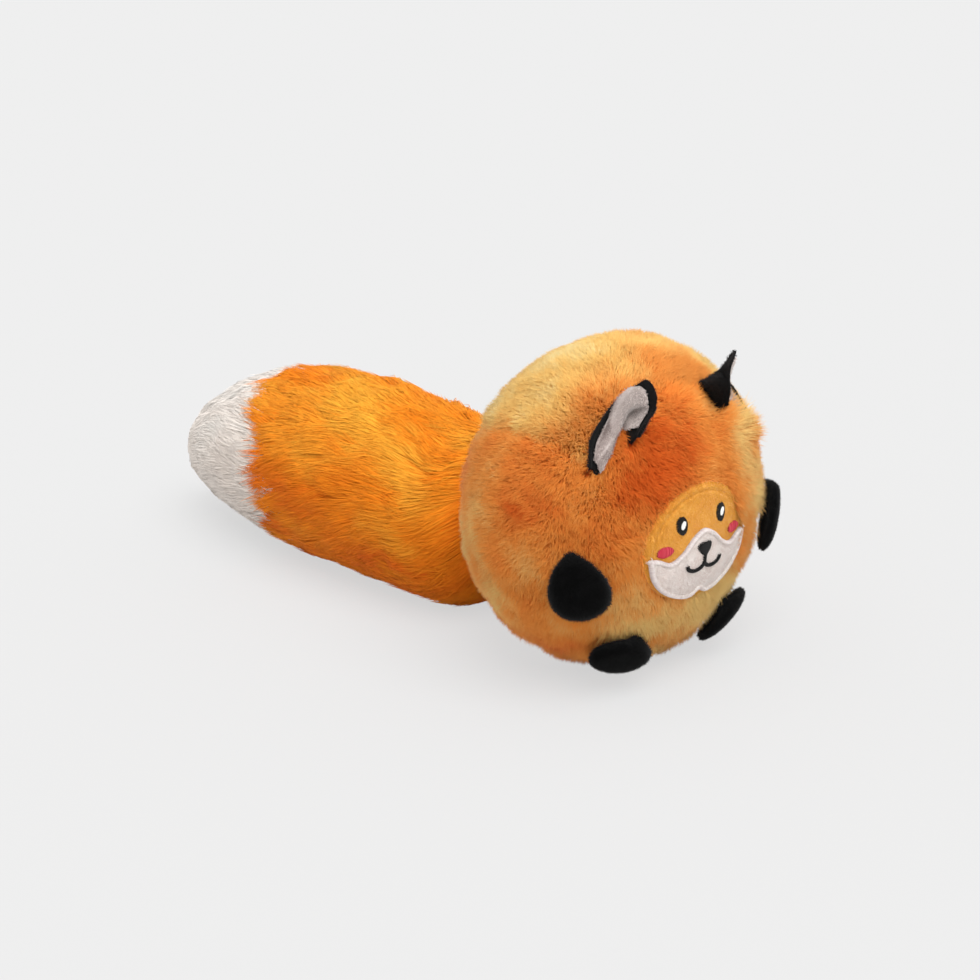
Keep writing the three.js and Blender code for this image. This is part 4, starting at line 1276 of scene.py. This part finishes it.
# The orange reaches farther over the white on top than at the sides.
colour_slant = 0.06
for kind, node, slot, colour, count, low, high, spare, seed in (
        ("tail_hair_", "tail_fur", "tail_orange", tail_orange,
         92000, -0.01, orange_end + colour_slant, 0.0, 81),
        ("tail_tip_hair_", "tail_tip_fur", "tail_white", tail_white,
         40000, orange_end - colour_slant - 0.01, 0.995, -0.02, 84)):
    orange = node == "tail_fur"
    locks = tail_locks(1800 if orange else 1100, low, high, seed)
    paths, lay, tone, turn, share = tail_hair(count, low, high, locks, seed + 1, spare)
    rng = np.random.default_rng(seed + 2)
    edge = orange_end + colour_slant * (2 * np.abs(np.sin(turn)) - 1 - 0.8 * (np.sin(turn) < -0.2))
    edge += 0.012 * rng.normal(size=len(share)) + 0.018 * mottle(lay, 0.16, seed + 3)
    mine = np.flatnonzero(share < edge if orange else share > edge - 0.004)
    mine = mine[np.argsort(turn[mine], kind="stable")]
    thick = hair_half_width * rng.uniform(0.7, 1.3, len(paths))
    for number, some in enumerate(np.array_split(mine, -(-len(mine) // hairs_per_lock_piece))):
        piece = strands(f"{kind}{number + 1}", paths[some], thick[some], tone[some], lay[some],
                        (0.9, 1.0, 0.62))
        piece.data.materials.append(colour)
        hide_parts(node)
        seam_bend(piece)

# Tail sleeves: the backing that the long pile grows from, filled loosely with fibre. The
# white one is sewn into the end of the orange one.
sleeve_dome, sleeve_end_reach, sleeve_clearance = 0.05, 0.02, 0.002
for name, low, high, reach, node, colours, slot in (
        ("tail_sleeve", 0.0, orange_end + 0.01, pelt_share, "tail_filling",
         ((190, 88, 8), (236, 134, 26)), "tail_orange"),
        ("tail_tip_sleeve", orange_end - 0.03, 0.965, pelt_share - 0.02, "tail_tip_filling",
         ((208, 180, 152), (226, 210, 196)), "tail_white")):
    share = np.concatenate([[low], np.linspace(low, high, 60), [high]])
    turn = np.linspace(0, 2 * pi, 73)[:-1]
    grid_share, grid_turn = (g.ravel() for g in np.meshgrid(share, turn, indexing="ij"))
    reach_here = reach * np.sqrt(1 - np.clip((share[:, None] - high) / sleeve_dome + 1, 0, 1) ** 2)
    reach_here[[0, -1]] = sleeve_end_reach
    reach_here = (reach_here + 0 * turn[None]).ravel()
    grid = tail_place(grid_share, grid_turn, reach_here).reshape(len(share), len(turn), 3)
    grid[:, :, 2] = np.maximum(grid[:, :, 2], sleeve_clearance)
    rows, columns = grid.shape[:2]
    faces = [(i * columns + j, i * columns + (j + 1) % columns,
              (i + 1) * columns + (j + 1) % columns, (i + 1) * columns + j)
             for i in range(rows - 1) for j in range(columns)]
    faces += [tuple(range(columns))[::-1], tuple(range((rows - 1) * columns, rows * columns))]
    sleeve = smooth_piece(name, grid.reshape(-1, 3), faces, weld=False)
    sleeve.data.materials.append(cloth_material(name + "_backing", *colours, 900, 0.0006))
    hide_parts(node)
    seam_bend(sleeve)

# Tail gather: the tuft of long pile right at the root, drawn into the back seam, which swings
# with the tail but doesn't lift.
gather_hairs, gather_half_width = 5200, 0.00036
gather_root_share, gather_tip_shares = 0.55, (1.0, 1.35)
rng = np.random.default_rng(91)
gather_radius = (gather_high.x - gather_low.x) / 2
way = unit(rng.normal(size=(gather_hairs, 3)))
way = way[way[:, 1] > -0.55]
roots = tail_start + way * gather_radius * gather_root_share
tips = tail_start + way * gather_radius * rng.uniform(*gather_tip_shares, (len(way), 1))
tips += [0, 0.004, 0]
tips += rng.normal(size=tips.shape) * 0.0012
paths = np.stack([roots, roots * 0.45 + tips * 0.55 + way * 0.001, tips], 1)
tuft = strands("tail_gather_tuft", paths, np.full(len(way), gather_half_width),
               0.42 + 0.14 * rng.normal(size=len(way)), way, (1, 0.8))
tuft.data.materials.append(tail_orange)
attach(tuft, "tail_root")
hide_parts("tail_root_gather")
